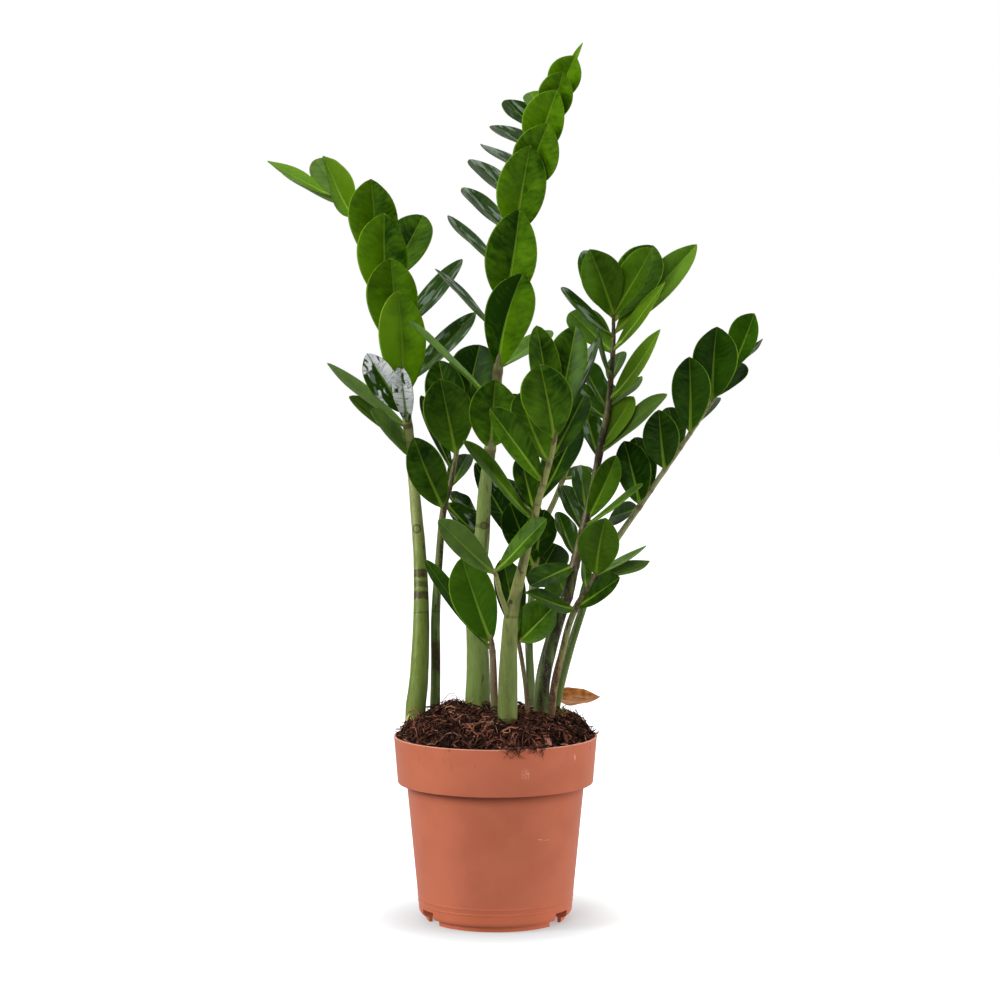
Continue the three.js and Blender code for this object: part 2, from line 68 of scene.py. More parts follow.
Branch = namedtuple("Branch", "stem leaves")
FRONDS = {
    "frond_a": [Branch(stem=[
        (-60, 124, 16, 8.2), (-67, 165, 17, 8.8), (-64, 202, 17, 8), (-62, 252, 19, 6.8),
        (-63, 302, 22, 5.6), (-67, 352, 25, 4.8), (-71, 397, 24, 4.2), (-77, 442, 20, 3.6),
        (-88, 502, 14, 2.9), (-103, 552, 8, 2.3), (-122, 590, 2, 1.7), (-138, 604, -2, 1.1),
    ], leaves=[
        (386, -104, 425, -8, 32, 70, 0), (398, -122, 437, 22, 36, 66, -0.01),
        (410, -140, 465, 40, 34, 72, -0.02), (414, -79, 463, -38, 18, -6), (422, -107, 473, -18, 27, -8),
        (435, -81, 525, -24, 40, 2), (446, -17, 507, 62, 34, -58, -0.03), (472, -87, 552, -30, 44, -5),
        (486, -28, 551, 66, 34, -58, -0.03), (509, -92, 589, -36, 44, -8),
        (526, -60, 587, 58, 42, -20, -0.04), (541, -103, 617, -42, 43, -8), (584, -143, 636, -46, 31, 44),
        (590, -149, 633, 24, 30, 20, 0.03), (596, -177, 622, 12, 24, 74, -0.03),
        (602, -189, 632, -14, 28, 64, -0.01),
    ])],
    "frond_b": [Branch(stem=[
        (-53, 127, 36, 5.2), (-51, 167, 35, 4.4), (-50, 212, 33, 4), (-50, 252, 30, 3.9),
        (-47, 302, 26, 3.2), (-43, 344, 22, 2.8), (-37, 366, 21, 2.3), (-32, 392, 21, 1.9),
        (-27, 414, 24, 1.5), (-24, 432, 28, 1),
    ], leaves=[
        (343, -68, 403, -22, 32, 4), (348, -12, 318, 58, 26, -40), (356, -15, 336, 70, 24, -52),
        (360, -23, 389, 64, 20, -30), (374, -62, 438, 34, 24, 56), (388, -46, 452, -18, 42, 2),
        (400, -47, 467, 30, 34, 8), (410, -37, 466, 52, 26, -4), (422, -13, 480, 50, 42, -6),
    ])],
    "frond_c": [Branch(stem=[
        (-13, 130, 17, 11.5), (-15, 174, 17, 11), (-14.5, 202, 17, 10), (-15, 227, 17, 9.2),
        (-16.5, 257, 17, 8.2), (-14, 292, 16, 7.2), (-11, 322, 15, 6.4), (-9, 357, 14, 5.6),
        (-4.8, 390, 12, 4.8), (-1, 422, 10, 4.4), (2, 457, 8, 4), (6, 497, 5, 3.5), (12, 547, 0, 3),
        (21, 597, -6, 2.5), (35, 645, -12, 2), (48, 680, -18, 1.6), (59, 703, -24, 1.2),
    ], leaves=[
        (393, 0, 451, -28, 42, 0), (400, 22, 438, 44, 30, -20), (431, -72, 499, -52, 32, 82, 0),
        (456, 23, 539, -26, 40, -10), (460, 45, 492, 58, 32, -60), (490, -50, 543, 30, 32, 80, -0.02),
        (513, 20, 592, -32, 43, -8), (540, -39, 587, 34, 34, 75, -0.05), (572, 29, 645, -38, 40, -8),
        (570, -26, 610, 36, 38, 66, -0.035), (597, -19, 633, 32, 40, 64, -0.03),
        (609, 44, 663, -42, 38, -8), (621, -10, 645, 26, 34, 68, -0.02), (636, 51, 690, -46, 35, -10),
        (640, -1, 661, 20, 36, 64, -0.02), (658, 56, 705, -46, 29, -10), (654, 9, 682, 8, 34, 54, -0.04),
        (670, 28, 688, 22, 20, 20), (676, 66, 718, -44, 27, -4), (692, 72, 729, -32, 7, -40),
    ])],
    "frond_d": [Branch(stem=[
        (9, 124, -38, 9), (10, 167, -38, 8.4), (10.5, 202, -38, 7.8), (11.5, 232, -39, 6.6),
        (13, 252, -40, 6), (17, 272, -41, 5), (23, 297, -43, 4), (29, 322, -45, 3.2), (35, 347, -47, 2.9),
        (42, 372, -50, 2.6), (48, 394, -52, 2.1), (51, 410, -52, 1.2),
    ], leaves=[
        (333, -27, 400, -76, 28, 66, 0.01), (339, 21, 386, -24, 28, 34), (348, 69, 416, -14, 32, -40),
        (364, -5, 427, -84, 28, 34), (380, 20, 440, -34, 30, 24), (382, 74, 438, -10, 30, -34),
        (400, 37, 464, -69, 41, -6), (403, 34, 496, -48, 26, 16), (405, 67, 496, -38, 34, -20),
        (408, 86, 486, -10, 26, -62),
    ]), Branch(stem=[
        (13, 248, -41, 3.6), (9, 259, -44, 2.6), (4, 272, -48, 2.2), (1, 285, -51, 2), (-1, 293, -52, 1.2),
    ], leaves=[
        (288, -48, 334, -66, 24, 30), (290, 43, 335, -72, 24, -50),
    ])],
    "frond_e": [Branch(stem=[
        (-1, 134, -11, 3.6), (-1, 174, -11, 3.2), (-1.5, 202, -12, 3), (-2.5, 224, -13, 2.6),
        (-4, 238, -15, 1.6),
    ], leaves=[
        (224, -59, 301, 0, 26, 62), (230, -28, 303, -26, 37, 4),
    ])],
    "frond_f": [Branch(stem=[
        (28, 140, -14, 2.6), (27, 174, -14, 2.2), (25, 197, -15, 1.9), (20, 228, -18, 1.8),
        (17, 242, -19, 1.2),
    ], leaves=[
        (231, 49, 262, -22, 38, -38), (236, 6, 302, 0, 26, 10),
    ])],
    "frond_g": [Branch(stem=[
        (37, 126, -3, 7.2), (38, 172, -3, 6.6), (40, 202, -3, 6.2), (47, 232, -1, 5.9), (53, 252, 1, 5.4),
        (60.5, 272, 3, 4.7), (65, 292, 5, 4.3), (70, 312, 6, 4), (75, 332, 7, 3.7), (79.5, 352, 8, 3.4),
        (83.5, 372, 8, 3.2), (88, 398, 8, 3), (93, 422, 7, 2.8), (96, 452, 5, 2.3), (98, 482, 2, 1.9),
        (98, 504, 0, 1.3),
    ], leaves=[
        (270, 52, 287, 44, 28, -10), (296, 29, 279, -18, 30, 50), (302, 52, 341, 30, 22, 44),
        (324, 55, 363, 34, 26, 36), (329, 123, 364, -34, 22, -80), (333, 101, 388, -14, 22, -10),
        (338, 71, 380, 40, 20, 18), (386, 76, 424, 34, 22, 24), (389, 143, 439, -2, 25, -58, 0.02),
        (392, 115, 437, 14, 25, -38), (418, 60, 449, 26, 26, 40), (428, 122, 454, 34, 26, -62),
        (426, 72, 468, 36, 26, 46), (434, 137, 493, -30, 25, -56, -0.03), (448, 104, 474, 44, 20, -50),
        (454, 84, 492, -34, 26, 78), (472, 62, 507, 30, 30, 22), (474, 141, 532, -28, 23, -60, -0.01),
        (486, 54, 527, -24, 25, 62, -0.02), (488, 167, 563, 34, 33, -34), (498, 131, 562, 24, 40, -14),
        (501, 73, 558, 22, 28, 14), (504, 78, 559, -30, 36, 8), (505, 130, 560, -38, 30, -38),
    ])],
    "frond_h": [Branch(stem=[
        (46, 134, -13, 3.6), (47, 174, -13, 3.2), (50, 200, -14, 3), (56, 224, -16, 2.8),
        (62, 248, -18, 2.7), (69, 264, -19, 2.5), (79, 280, -21, 2.1), (86, 292, -22, 1.5),
    ], leaves=[
        (259, 24, 274, -50, 26, 62), (260, 104, 286, -46, 24, -46), (264, 83, 286, 14, 24, 30),
        (274, 74, 303, -12, 20, 60), (285, 129, 300, 6, 26, -68), (287, 126, 313, 26, 22, -80),
        (288, 92, 336, -58, 34, -4),
    ])],
    "frond_i": [Branch(stem=[
        (50, 132, 30, 4.4), (50, 174, 30, 4), (57, 207, 29, 3.8), (64, 232, 28, 3.5), (71, 254, 27, 3.3),
        (80, 280, 25, 3), (92, 304, 23, 2.8), (106, 325, 21, 2.6), (122, 348, 19, 2.4),
        (137, 370, 17, 2.2), (153, 393, 15, 2), (168, 415, 12, 1.8), (181, 434, 10, 1.6),
        (194, 454, 8, 1.3), (201, 466, 6, 1),
    ], leaves=[
        (344, 95, 336, 56, 26, 56), (346, 107, 400, 14, 30, 8), (359, 116, 403, 40, 26, -4),
        (376, 136, 426, -30, 31, -2), (394, 144, 428, 46, 22, 8), (406, 161, 470, -36, 33, -2),
        (414, 184, 436, 52, 20, -46), (433, 184, 495, -40, 38, -6), (436, 205, 465, 34, 26, -30),
        (458, 215, 506, -14, 28, -28), (462, 222, 485, 26, 22, -74),
    ])],
    "frond_j": [Branch(stem=[
        (32, 130, 26, 4), (31, 174, 26, 3.6), (29, 207, 28, 3.4), (28, 234, 31, 3.3), (30, 268, 35, 3),
        (34, 302, 40, 2.8), (42, 334, 44, 2.6), (50, 352, 46, 2.4), (60, 378, 48, 2.2), (67, 398, 49, 1.8),
        (71, 413, 50, 1.1),
    ], leaves=[
        (274, 51, 314, 70, 38, -20), (293, 12, 348, 40, 31, 12), (298, -17, 382, 62, 22, 20),
        (300, 41, 343, 22, 28, -4), (332, -2, 368, 74, 24, 34), (368, 79, 378, 84, 18, -50),
        (386, 24, 432, 84, 30, 16), (400, 44, 464, 96, 30, 6), (406, 96, 448, 92, 30, -24),
    ])],
}

# How far back each frond leans at LEAN_HEIGHT above LEAN_START. The others don't lean.
LEANS = {
    "frond_a": 44, "frond_b": 18, "frond_c": -18, "frond_d": -70,
    "frond_g": 36, "frond_h": -90, "frond_i": 30, "frond_j": 100,
}
LEAN_START, LEAN_HEIGHT, LEAN_POWER = 162, 300, 1.5

DRY_LEAF = Branch(
    stem=[(47, 162, 44, 2.2), (49, 176, 46, 2), (52, 186, 48, 1.6)], leaves=[(184, 88, 186, 46, 22, -52)],
)


# ---------------------------------------------------------------- sizes

LEAF = {
    "thickness": 0.8, "rib": 0.9, "petiole_radius": 1.3, "petiole_end": 0.07,
    "fullness": 0.51, "point": 0.12, "skew": 1.3, "fold": math.radians(20),
    "bow": -0.015, "bow_spread": 0.02, "bow_rule": 2.4,
    "groove": 0.3, "groove_reach": 0.9, "rib_reach": 1.1, "rib_taper": 1.2,
    "cup": 0.35, "twist_centre": 0.4,
}
# Where along a leaflet its petiole flattens, where it narrows, and where the tip's point begins.
PETIOLE_FLATTENS, PETIOLE_NARROWS, POINT_START = (0.05, 0.15), (0.08, 0.3), 0.8
# Leaflets seen from the side, with at least this roll, are folded less.
SIDE_ROLL, SIDE_FOLD = 50, math.radians(9)
# Leaflets whose form isn't drawn by rule: pointed ones have their widest place near the middle.
POINTED = {"skew": 1.0, "fullness": 0.8}
LEAF_FORMS = {
    "frond_a": {584: POINTED | {"skew": 0.8}, 596: POINTED, 602: POINTED | {"fullness": 0.9}},
    "frond_c": {456: {"curve": -0.045, "skew": 1.5}, 692: POINTED,
                **dict.fromkeys((513, 572, 609, 636), {"skew": 1.05, "fullness": 0.55})},
    "frond_g": {474: POINTED, 434: POINTED, 428: POINTED, 488: {"skew": 1.15, "fullness": 0.62},
                498: {"fullness": 0.58}, 505: {"fullness": 0.6}, 504: {"fullness": 0.56}},
    "frond_h": {259: {"skew": 0.85, "fullness": 1}, 287: POINTED, 285: POINTED},
    "frond_i": {462: POINTED, 458: {"fullness": 0.6}},
}
# Wet leaflets wave more, and the painted light and shade of a leaflet's left and right half blend into each
# other over this share of its width.
WET_FORM = {"wave_height": 0.08, "waves": 2.4}
PAINTED_HALF_SHADE_BLEND = 0.06

LEAF_STEPS = 22
LEAF_ACROSS = (0, 0.05, 0.14, 0.3, 0.48, 0.66, 0.82, 0.93, 1)

# A stem's rings and its roughness, the swelling where a leaflet leaves it, how much more bark there is on
# the side that it keeps to, and the share of the stem from which its direction is taken. Bark gathered on a
# stem's right side is in part painted shade.
STEM = {
    "sides": 20, "step": 2.5, "fewest_rings": 8, "rough": 0.03, "grain": 0.08,
    "swelling": 0.12, "swelling_reach": 1.6, "bark_and_shade_bias": 0.18, "aside": 0.004,
}

POT = {
    "rim": 85, "height": 154, "wall": 1.4, "collar_bottom": 81.8, "ledge": 114.8, "neck": 74.4,
    "body_bottom": 64.3, "body_bottom_z": 10, "skirt": 60, "skirt_z": 4.3,
    "foot": 58.4, "foot_inner": 55.6, "draft": 0.4, "floor_under": 5, "floor": 7, "pad": 12,
    "notch_inner": 54.5, "notch_outer": 70, "notch_width": 18, "notch_top": 11.5,
    "drain": 4, "drain_ring": 40, "drain_count": 6, "sides": 144,
}
NOTCH_ANGLES = (-31.2, 88.8, 208.8)
# Heights of the fine lines that the mould left round the body, and of the body's lower end.
MOULD_LINES = (15, 19.6)
BODY_START = 12.4
# The pot's edges are sharp where its faces turn by more than this.
CREASE = math.radians(32)

SOIL = {
    "edge": 83, "edge_z": 151.5, "rise": 24, "mound": 80, "power": 0.7, "lump": 1.3, "crumb": 1.3,
    "gap": 0.4, "sides": 180, "rings": 56,
}
# Where loose soil is heaped up: (x, y, radius, height)
HEAPS = [(-70, 2, 11, 4), (-42, 24, 20, 7), (64, 28, 17, 7), (74, 2, 9, 4), (30, -62, 14, 2)]


# ---------------------------------------------------------------- looks

def rgb(red, green, blue):
    """A screen colour, from 0 to 255, as the linear colour that a shader takes."""
    shares = (value / 255 for value in (red, green, blue))
    return (*(v / 12.92 if v <= 0.04045 else ((v + 0.055) / 1.055) ** 2.4 for v in shares), 1)


# Each frond's slot and its leaflets' tone, which runs from 0, old and dark, to 1, young and yellow-green.
# Frond_j's tone, near 0, is painted shade for its place at the back of the plant.
FROND_LOOKS = {
    "frond_a": ("leaf_bright", 0.7), "frond_b": ("leaf", 0.34), "frond_c": ("leaf_bright", 0.56),
    "frond_d": ("leaf", 0.46), "frond_e": ("leaf_dark", 0.72), "frond_f": ("leaf", 0.4),
    "frond_g": ("leaf", 0.78), "frond_h": ("leaf", 0.55), "frond_i": ("leaf_dark", 0.46),
    "frond_j": ("leaf", 0.02),
}

# Leaflets that differ from the rest of their frond, by where they leave the stem. Young ones are
# yellow-green, old ones dark, pale ones dull, and satin and wet ones dark with more and more gloss and with
# painted sheen streaks. The last two kinds carry a painted reflection, pale and lined along the veins: the
# first of them mostly on the right half, the second over nearly all the upper face.
KINDS = {
    "young": {"frond_a": {584, 596, 602}, "frond_c": {676, 692},
              "frond_g": {392, 428, 434, 474, 488}, "frond_h": {287}},
    "old": {"frond_a": {526}, "frond_c": {393, 400}, "frond_d": {339, 348}, "frond_h": {260, 264},
            "frond_g": {270, 296}},
    "pale": {"frond_a": {386, 398, 410, 590}, "frond_d": {288}, "frond_g": {389}, "frond_h": {285}},
    "satin": {"frond_a": {446, 486}, "frond_b": {374}, "frond_i": {462},
              "frond_c": {490, 540, 570, 597, 621, 640, 654}, "frond_d": {408},
              "frond_g": {454, 486, 501}},
    "wet": {"frond_b": {348, 356}, "frond_g": {302, 324, 338, 386, 418, 426},
            "frond_j": {298, 332, 386}},
    "half_painted_glare": {"frond_a": {422}},
    "painted_glare": {"frond_a": {414}},
}
# What a kind adds to a leaflet's tone, its gloss (None leaves it as drawn), how dull it is or, for the last
# two kinds, how much painted reflection it carries, and the piece that it goes into.
KIND_LOOKS = {
    "plain": (0, None, 0, "leaflets"), "young": (0.3, None, 0, "leaflets"),
    "old": (-0.38, None, 0, "leaflets"), "pale": (0, 0.1, 0.45, "leaflets"),
    "satin": (-0.1, 0.8, 0, "satin_leaflets"), "wet": (0, 1, 0, "glossy_leaflets"),
    "half_painted_glare": (0, 1, 0.8, "glossy_leaflets"), "painted_glare": (0, 1, 1, "glossy_leaflets"),
}
# What single leaflets add to their tone, raised or lowered in part as painted light and shade where a
# leaflet sits in shadow or at the back, and how much lighter their right half is than the middle, which is
# painted light and shade across the fold.
LEAF_TONES = {
    "frond_a": {
        414: (0, 0), 422: (0, 0), 435: (0.06, -0.18), 472: (0.02, 0.03), 509: (-0.04, -0.3),
        541: (-0.07, -0.17), 584: (-0.05, 0.1), 590: (-0.25, 0), 596: (0.05, 0),
    },
    "frond_b": {388: (0.16, 0), 400: (-0.2, 0), 410: (-0.2, 0), 422: (-0.22, 0.05)},
    "frond_c": {
        400: (-0.35, 0), 456: (-0.3, 0.3), 513: (-0.22, 0.16), 572: (-0.08, -0.2), 609: (0.12, 0.02),
        636: (0.12, -0.1), 393: (0.05, 0.08), 621: (-0.2, 0), 640: (-0.2, 0), 654: (-0.1, 0),
    },
    "frond_d": {
        400: (-0.02, -0.1), 333: (0.16, 0.05), 288: (0.1, 0.12), 290: (-0.1, 0), 348: (-0.2, 0),
        382: (-0.3, 0), 405: (-0.15, 0),
    },
    "frond_e": {230: (0.1, 0)},
    "frond_f": {231: (0.05, 0), 236: (-0.2, 0)},
    "frond_g": {
        296: (-0.3, 0), 389: (0, 0), 434: (0.1, 0.1), 498: (-0.3, 0.05), 504: (0, -0.12),
        488: (-0.1, 0.1),
    },
    "frond_h": {259: (-0.3, 0), 288: (0.05, 0)},
    "frond_i": {346: (-0.22, 0), 376: (-0.18, 0.1), 406: (0, 0.2), 433: (0.08, 0.12), 458: (0.36, 0)},
}

# Stem colours: low at the foot, high among the leaflets, and of the bark, then turn, the heights between
# which low turns into high. Amount is how much bark shows at the foot and at the top, and side is the
# direction that it keeps to, in degrees from the right, turning to the back; at side 0 the dark bark on the
# right also paints the stem's shaded side. Up to about the height earth the stem is stained with soil.
StemLook = namedtuple("StemLook", "low high bark turn amount side earth")
STEM_LOOKS = {
    "frond_a": StemLook((106, 124, 48), (144, 150, 92), (74, 58, 40), (290, 350), (0.02, 0.5), 0, 160),
    "frond_b": StemLook((92, 112, 56), (98, 92, 56), (44, 26, 20), (280, 350), (0.3, 0.42), 0, 176),
    "frond_c": StemLook((112, 132, 66), (118, 114, 78), (66, 62, 34), (340, 430), (0.2, 0.45), 0, 184),
    "frond_d": StemLook((106, 120, 60), (146, 148, 86), (80, 58, 44), (215, 300), (0.04, 0.42), 200, 178),
    "frond_e": StemLook((92, 92, 54), (116, 98, 74), (88, 58, 46), (150, 210), (0.2, 0.5), 0, 176),
    "frond_f": StemLook((112, 100, 72), (116, 98, 72), (86, 56, 42), (150, 220), (0.3, 0.5), 0, 176),
    "frond_g": StemLook((62, 76, 36), (98, 88, 62), (32, 24, 20), (230, 330), (0.36, 0.7), 0, 178),
    "frond_h": StemLook((146, 112, 72), (128, 130, 84), (44, 27, 20), (200, 250), (0.6, 0.36), 190, 182),
    "frond_i": StemLook((88, 110, 54), (148, 144, 106), (96, 72, 54), (240, 340), (0.05, 0.32), 0, 178),
    "frond_j": StemLook((86, 106, 54), (112, 110, 72), (88, 66, 50), (240, 320), (0.1, 0.35), 0, 176),
}

# Dark rings round a stem: (height, half its height, strength)
BANDS = {
    "frond_a": [(288.8, 3.4, 1), (279.8, 2.4, 0.75), (270.6, 3.2, 1), (256.2, 0.6, 0.7), (412, 2, 0.6)],
    "frond_b": [(221, 12, 0.8), (258, 1, 0.6)],
    "frond_c": [(330, 1.6, 0.6), (386, 6, 0.5)],
    "frond_d": [(254.5, 1.2, 0.5), (165, 4, 0.4)],
    "frond_g": [(248, 1, 0.6), (302, 4, 0.5)],
}

# Round scars on a stem: (height, direction in degrees from the front, turning to the right, radius,
# how hollow its middle is)
SCARS = {
    "frond_a": [(326.7, -8, 4, 1)],
    "frond_c": [(329.8, 10, 3.4, 0.4)],
    "frond_d": [(266, -35, 2, 0)],
    "frond_i": [(300, 0, 2, 0)],
}

# Pale patches on a stem, written as the scars are.
PALE_PATCHES = {"frond_a": [(167, -35, 5.5, 0)]}


# ---------------------------------------------------------------- curves

def lean_at(name, z):
    above = max(0.0, (z - LEAN_START) / LEAN_HEIGHT)
    return LEANS.get(name, 0) * above ** LEAN_POWER


def in_depth(x, z, y):
    reach = 1 - y / EYE[1]
    return np.array([EYE[0] + (x - EYE[0]) * reach, y, EYE[2] + (z - EYE[2]) * reach])


class StemCurve:
    """A centripetal Catmull-Rom curve through the stem's rows, with t from 0 at the foot to 1."""

    def __init__(self, name, rows):
        self.places = [in_depth(x, z, y + lean_at(name, z)) for x, z, y, _ in rows]
        self.heights = [row[1] for row in rows]
        self.radii = [row[3] for row in rows]

    def point(self, t):
        places = self.places
        row = min(int(t * (len(places) - 1)), len(places) - 2)
        share = t * (len(places) - 1) - row
        start, end = places[row], places[row + 1]
        before = places[row - 1] if row > 0 else 2 * start - end
        after = places[row + 2] if row + 2 < len(places) else 2 * end - start
        gaps = [np.linalg.norm(b - a) ** 0.5 for a, b in ((before, start), (start, end), (end, after))]
        leave = (start - before) / gaps[0] - (end - before) / (gaps[0] + gaps[1]) + (end - start) / gaps[1]
        arrive = (end - start) / gaps[1] - (after - start) / (gaps[1] + gaps[2]) + (after - end) / gaps[2]
        leave, arrive = leave * gaps[1], arrive * gaps[1]
        square = -3 * start + 3 * end - 2 * leave - arrive
        cube = 2 * start - 2 * end + leave + arrive
        return start + leave * share + square * share ** 2 + cube * share ** 3

    def between(self, values, t):
        return float(np.interp(t * (len(values) - 1), range(len(values)), values))

    def radius(self, t):
        return self.between(self.radii, t)

    def seen_height(self, t):
        return self.between(self.heights, t)

    def at_seen_height(self, z):
        return float(np.interp(z, self.heights, range(len(self.heights)))) / (len(self.heights) - 1)


def unit(vector):
    return vector / np.linalg.norm(vector)


def smooth_step(low, high, value):
    share = np.clip((value - low) / (high - low), 0, 1)
    return share * share * (3 - 2 * share)


# ---------------------------------------------------------------- meshes

def make_object(name, points, faces, material, marks=None, corner_marks=None, smooth=True):
    """A mesh from points in millimetres. Marks are named vectors on its points or on its corners."""
    mesh = bpy.data.meshes.new(name)
    mesh.from_pydata((np.asarray(points) * MM).tolist(), [], faces)
    for domain, named in (("POINT", marks or {}), ("CORNER", corner_marks or {})):
        for mark, values in named.items():
            attribute = mesh.attributes.new(mark, "FLOAT_VECTOR", domain)
            attribute.data.foreach_set("vector", np.asarray(values, np.float32).ravel())
    mesh.polygons.foreach_set("use_smooth", [smooth] * len(mesh.polygons))
    mesh.materials.append(material)
    mesh.update()
    piece = bpy.data.objects.new(name, mesh)
    bpy.context.scene.collection.objects.link(piece)
    return piece


def dress(piece, slot, *nodes):
    """The piece rides on the part's one body and stands for the nodes. Slot is not used."""
    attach(piece, "root")
    if nodes:
        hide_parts(*nodes)


class Batch:
    """Points, faces and marks of many small shapes, gathered for one object."""

    def __init__(self):
        self.points, self.faces, self.marks, self.corner_marks = [], [], {}, {}
        self.count = 0

    def add(self, points, faces, marks, corner_marks=None):
        self.points.append(points)
        self.faces += shifted(faces, self.count)
        self.count += len(points)
        for kept, new in ((self.marks, marks), (self.corner_marks, corner_marks or {})):
            for name, values in new.items():
                kept.setdefault(name, []).append(values)

    def build(self, name, material, smooth=True):
        marks, corner_marks = (
            {mark: np.concatenate(values) for mark, values in kept.items()}
            for kept in (self.marks, self.corner_marks)
        )
        points = np.concatenate(self.points)
        return make_object(name, points, self.faces, material, marks, corner_marks, smooth)


def shifted(faces, by):
    return [tuple(number + by for number in face) for face in faces]


def repeated(faces, points, times):
    """The faces of a shape of so many points, for each of its copies that follow each other."""
    return [face for copy in range(times) for face in shifted(faces, copy * points)]


def ring_points(radius, z, sides):
    return [(radius * math.cos(a), radius * math.sin(a), z) for a in np.arange(sides) / sides * TURN]


def ring_faces(rings, sides):
    """Quads between rings of points that follow each other, outward for rings that turn to the left."""
    faces = []
    for ring in range(rings - 1):
        for side in range(sides):
            here, beside = ring * sides + side, ring * sides + (side + 1) % sides
            faces.append((here, beside, beside + sides, here + sides))
    return faces


def capped_faces(rings, sides):
    """ring_faces, closed by a fan to a first point and a last point that come after the rings."""
    first, last, top = rings * sides, rings * sides + 1, (rings - 1) * sides
    beside = [(side + 1) % sides for side in range(sides)]
    foot = [(first, beside[side], side) for side in range(sides)]
    head = [(last, top + side, top + beside[side]) for side in range(sides)]
    return ring_faces(rings, sides) + foot + head


# ---------------------------------------------------------------- leaflets

def leaf_frame(base, tip, roll):
    along = unit(tip - base)
    facing = unit(FRONT - along * FRONT.dot(along))
    upper = facing * math.cos(roll) + np.cross(along, facing) * math.sin(roll)
    return along, upper, np.cross(along, upper)


def leaf_half_width(u, width, skew, fullness):
    """Half the leaflet's width at share u of its length, with a small point at the tip."""
    end = LEAF["petiole_end"] / 2
    along = np.clip((u - end) / (1 - end), 0, 1)
    power = fullness + LEAF["point"] * smooth_step(POINT_START, 1, along)
    blade = width / 2 * np.sin(math.pi * along ** skew) ** power
    petiole = LEAF["petiole_radius"] * (1 - smooth_step(*PETIOLE_NARROWS, u))
    return np.hypot(blade, petiole)


def leaf_habit(order, seed):
    """How a leaflet differs from its neighbours, drawn by its place."""
    draw = random.Random(seed * 1000 + order)
    return {
        "fold": LEAF["fold"] + math.radians(draw.uniform(-5, 5)),
        "lopsided": draw.uniform(-0.07, 0.07),
        "curve": draw.uniform(-0.018, 0.018),
        "twist": math.radians(draw.uniform(-9, 9)),
        "recurve": draw.uniform(-0.008, 0.004),
        "waves": draw.uniform(0.9, 1.7),
        "phases": (draw.uniform(0, TURN), draw.uniform(0, TURN)),
        "wave_height": draw.uniform(0.015, 0.05),
        "seed": draw.uniform(0, 100),
        "tone": draw.uniform(-0.1, 0.1),
        "gloss": draw.uniform(0.15, 0.45),
        # how much lighter the right half is painted than the left: painted light and shade across the fold
        "painted_half_shade": draw.uniform(-0.08, 0.08),
        "skew": LEAF["skew"] + draw.uniform(-0.08, 0.12),
        "fullness": LEAF["fullness"],
    }


def leaf_shape(base, tip, width, roll, bow, habit):
    """The leaflet's points in rings from its base to its tip, then the base point and the tip point.
    Returns them with each point's place along the leaflet, across it and in millimetres."""
    length = np.linalg.norm(tip - base)
    along, upper, across = leaf_frame(base, tip, roll)
    steps = np.arange(1, LEAF_STEPS) / LEAF_STEPS
    u = (steps + (1 - np.cos(math.pi * steps)) / 2)[:, None] / 2
    right = np.array(LEAF_ACROSS)
    s = np.concatenate([-right[:0:-1], right])[None, :]
    half = leaf_half_width(u, width, habit["skew"], habit["fullness"])
    reach = np.abs(s)
    petiole = 1 - smooth_step(*PETIOLE_FLATTENS, u)
    side_phase = np.where(s < 0, habit["phases"][0], habit["phases"][1])
    wave = habit["wave_height"] * np.sin(TURN * habit["waves"] * u + side_phase) * reach ** 2
    cupped = (1 + LEAF["cup"]) * reach - LEAF["cup"] * reach ** 3
    rise = half * (math.sin(habit["fold"]) * cupped + wave)
    from_rib = reach * half
    groove = LEAF["groove"] * (1 - u) * np.exp(-(from_rib / LEAF["groove_reach"]) ** 2) * (1 - petiole)
    out = s * half * (1 + habit["lopsided"] * np.sign(s) * (1 - petiole))
    blade = LEAF["thickness"] * np.sqrt(np.clip(1 - s ** 4, 0, 1))
    rib = LEAF["rib"] * (1 - u) ** LEAF["rib_taper"] * np.exp(-(from_rib / LEAF["rib_reach"]) ** 2)
    round_petiole = 2 * LEAF["petiole_radius"] * np.sqrt(np.clip(1 - s ** 2, 0, 1))
    thickness = (blade + rib) * (1 - petiole) + round_petiole * petiole
    height = rise - groove + round_petiole * petiole / 2
    turn = habit["twist"] * (u - LEAF["twist_centre"])
    middle_up = length * (bow * 4 * u * (1 - u) + habit["recurve"] * np.sin(TURN * u))
    middle_out = length * habit["curve"] * 4 * u * (1 - u)

    def place(lift):
        across_by = out * np.cos(turn) - lift * np.sin(turn) + middle_out
        up_by = out * np.sin(turn) + lift * np.cos(turn) + middle_up
        return (base + along * (length * u)[..., None] + across * across_by[..., None]
                + upper * up_by[..., None])

    top, bottom = place(height), place(height - thickness)
    ring = np.concatenate([top, bottom[:, -2:0:-1]], axis=1)
    s_ring = np.concatenate([s, s[:, -2:0:-1]], axis=1) + 0 * u
    u_ring = u + 0 * s_ring
    points = np.concatenate([ring.reshape(-1, 3), [base, tip]])
    shares = np.column_stack([np.append(u_ring, [0, 1]), np.append(s_ring, [0, 0])])
    real = np.column_stack([shares[:, 0] * length, np.append(s_ring * half, [0, 0])])
    return points, shares, real


LEAF_SIDES = 4 * (len(LEAF_ACROSS) - 1)
LEAF_FACES = capped_faces(LEAF_STEPS - 1, LEAF_SIDES)
LEAF_UNDER = [int(number % LEAF_SIDES >= LEAF_SIDES / 2) for number in range(len(LEAF_FACES))]


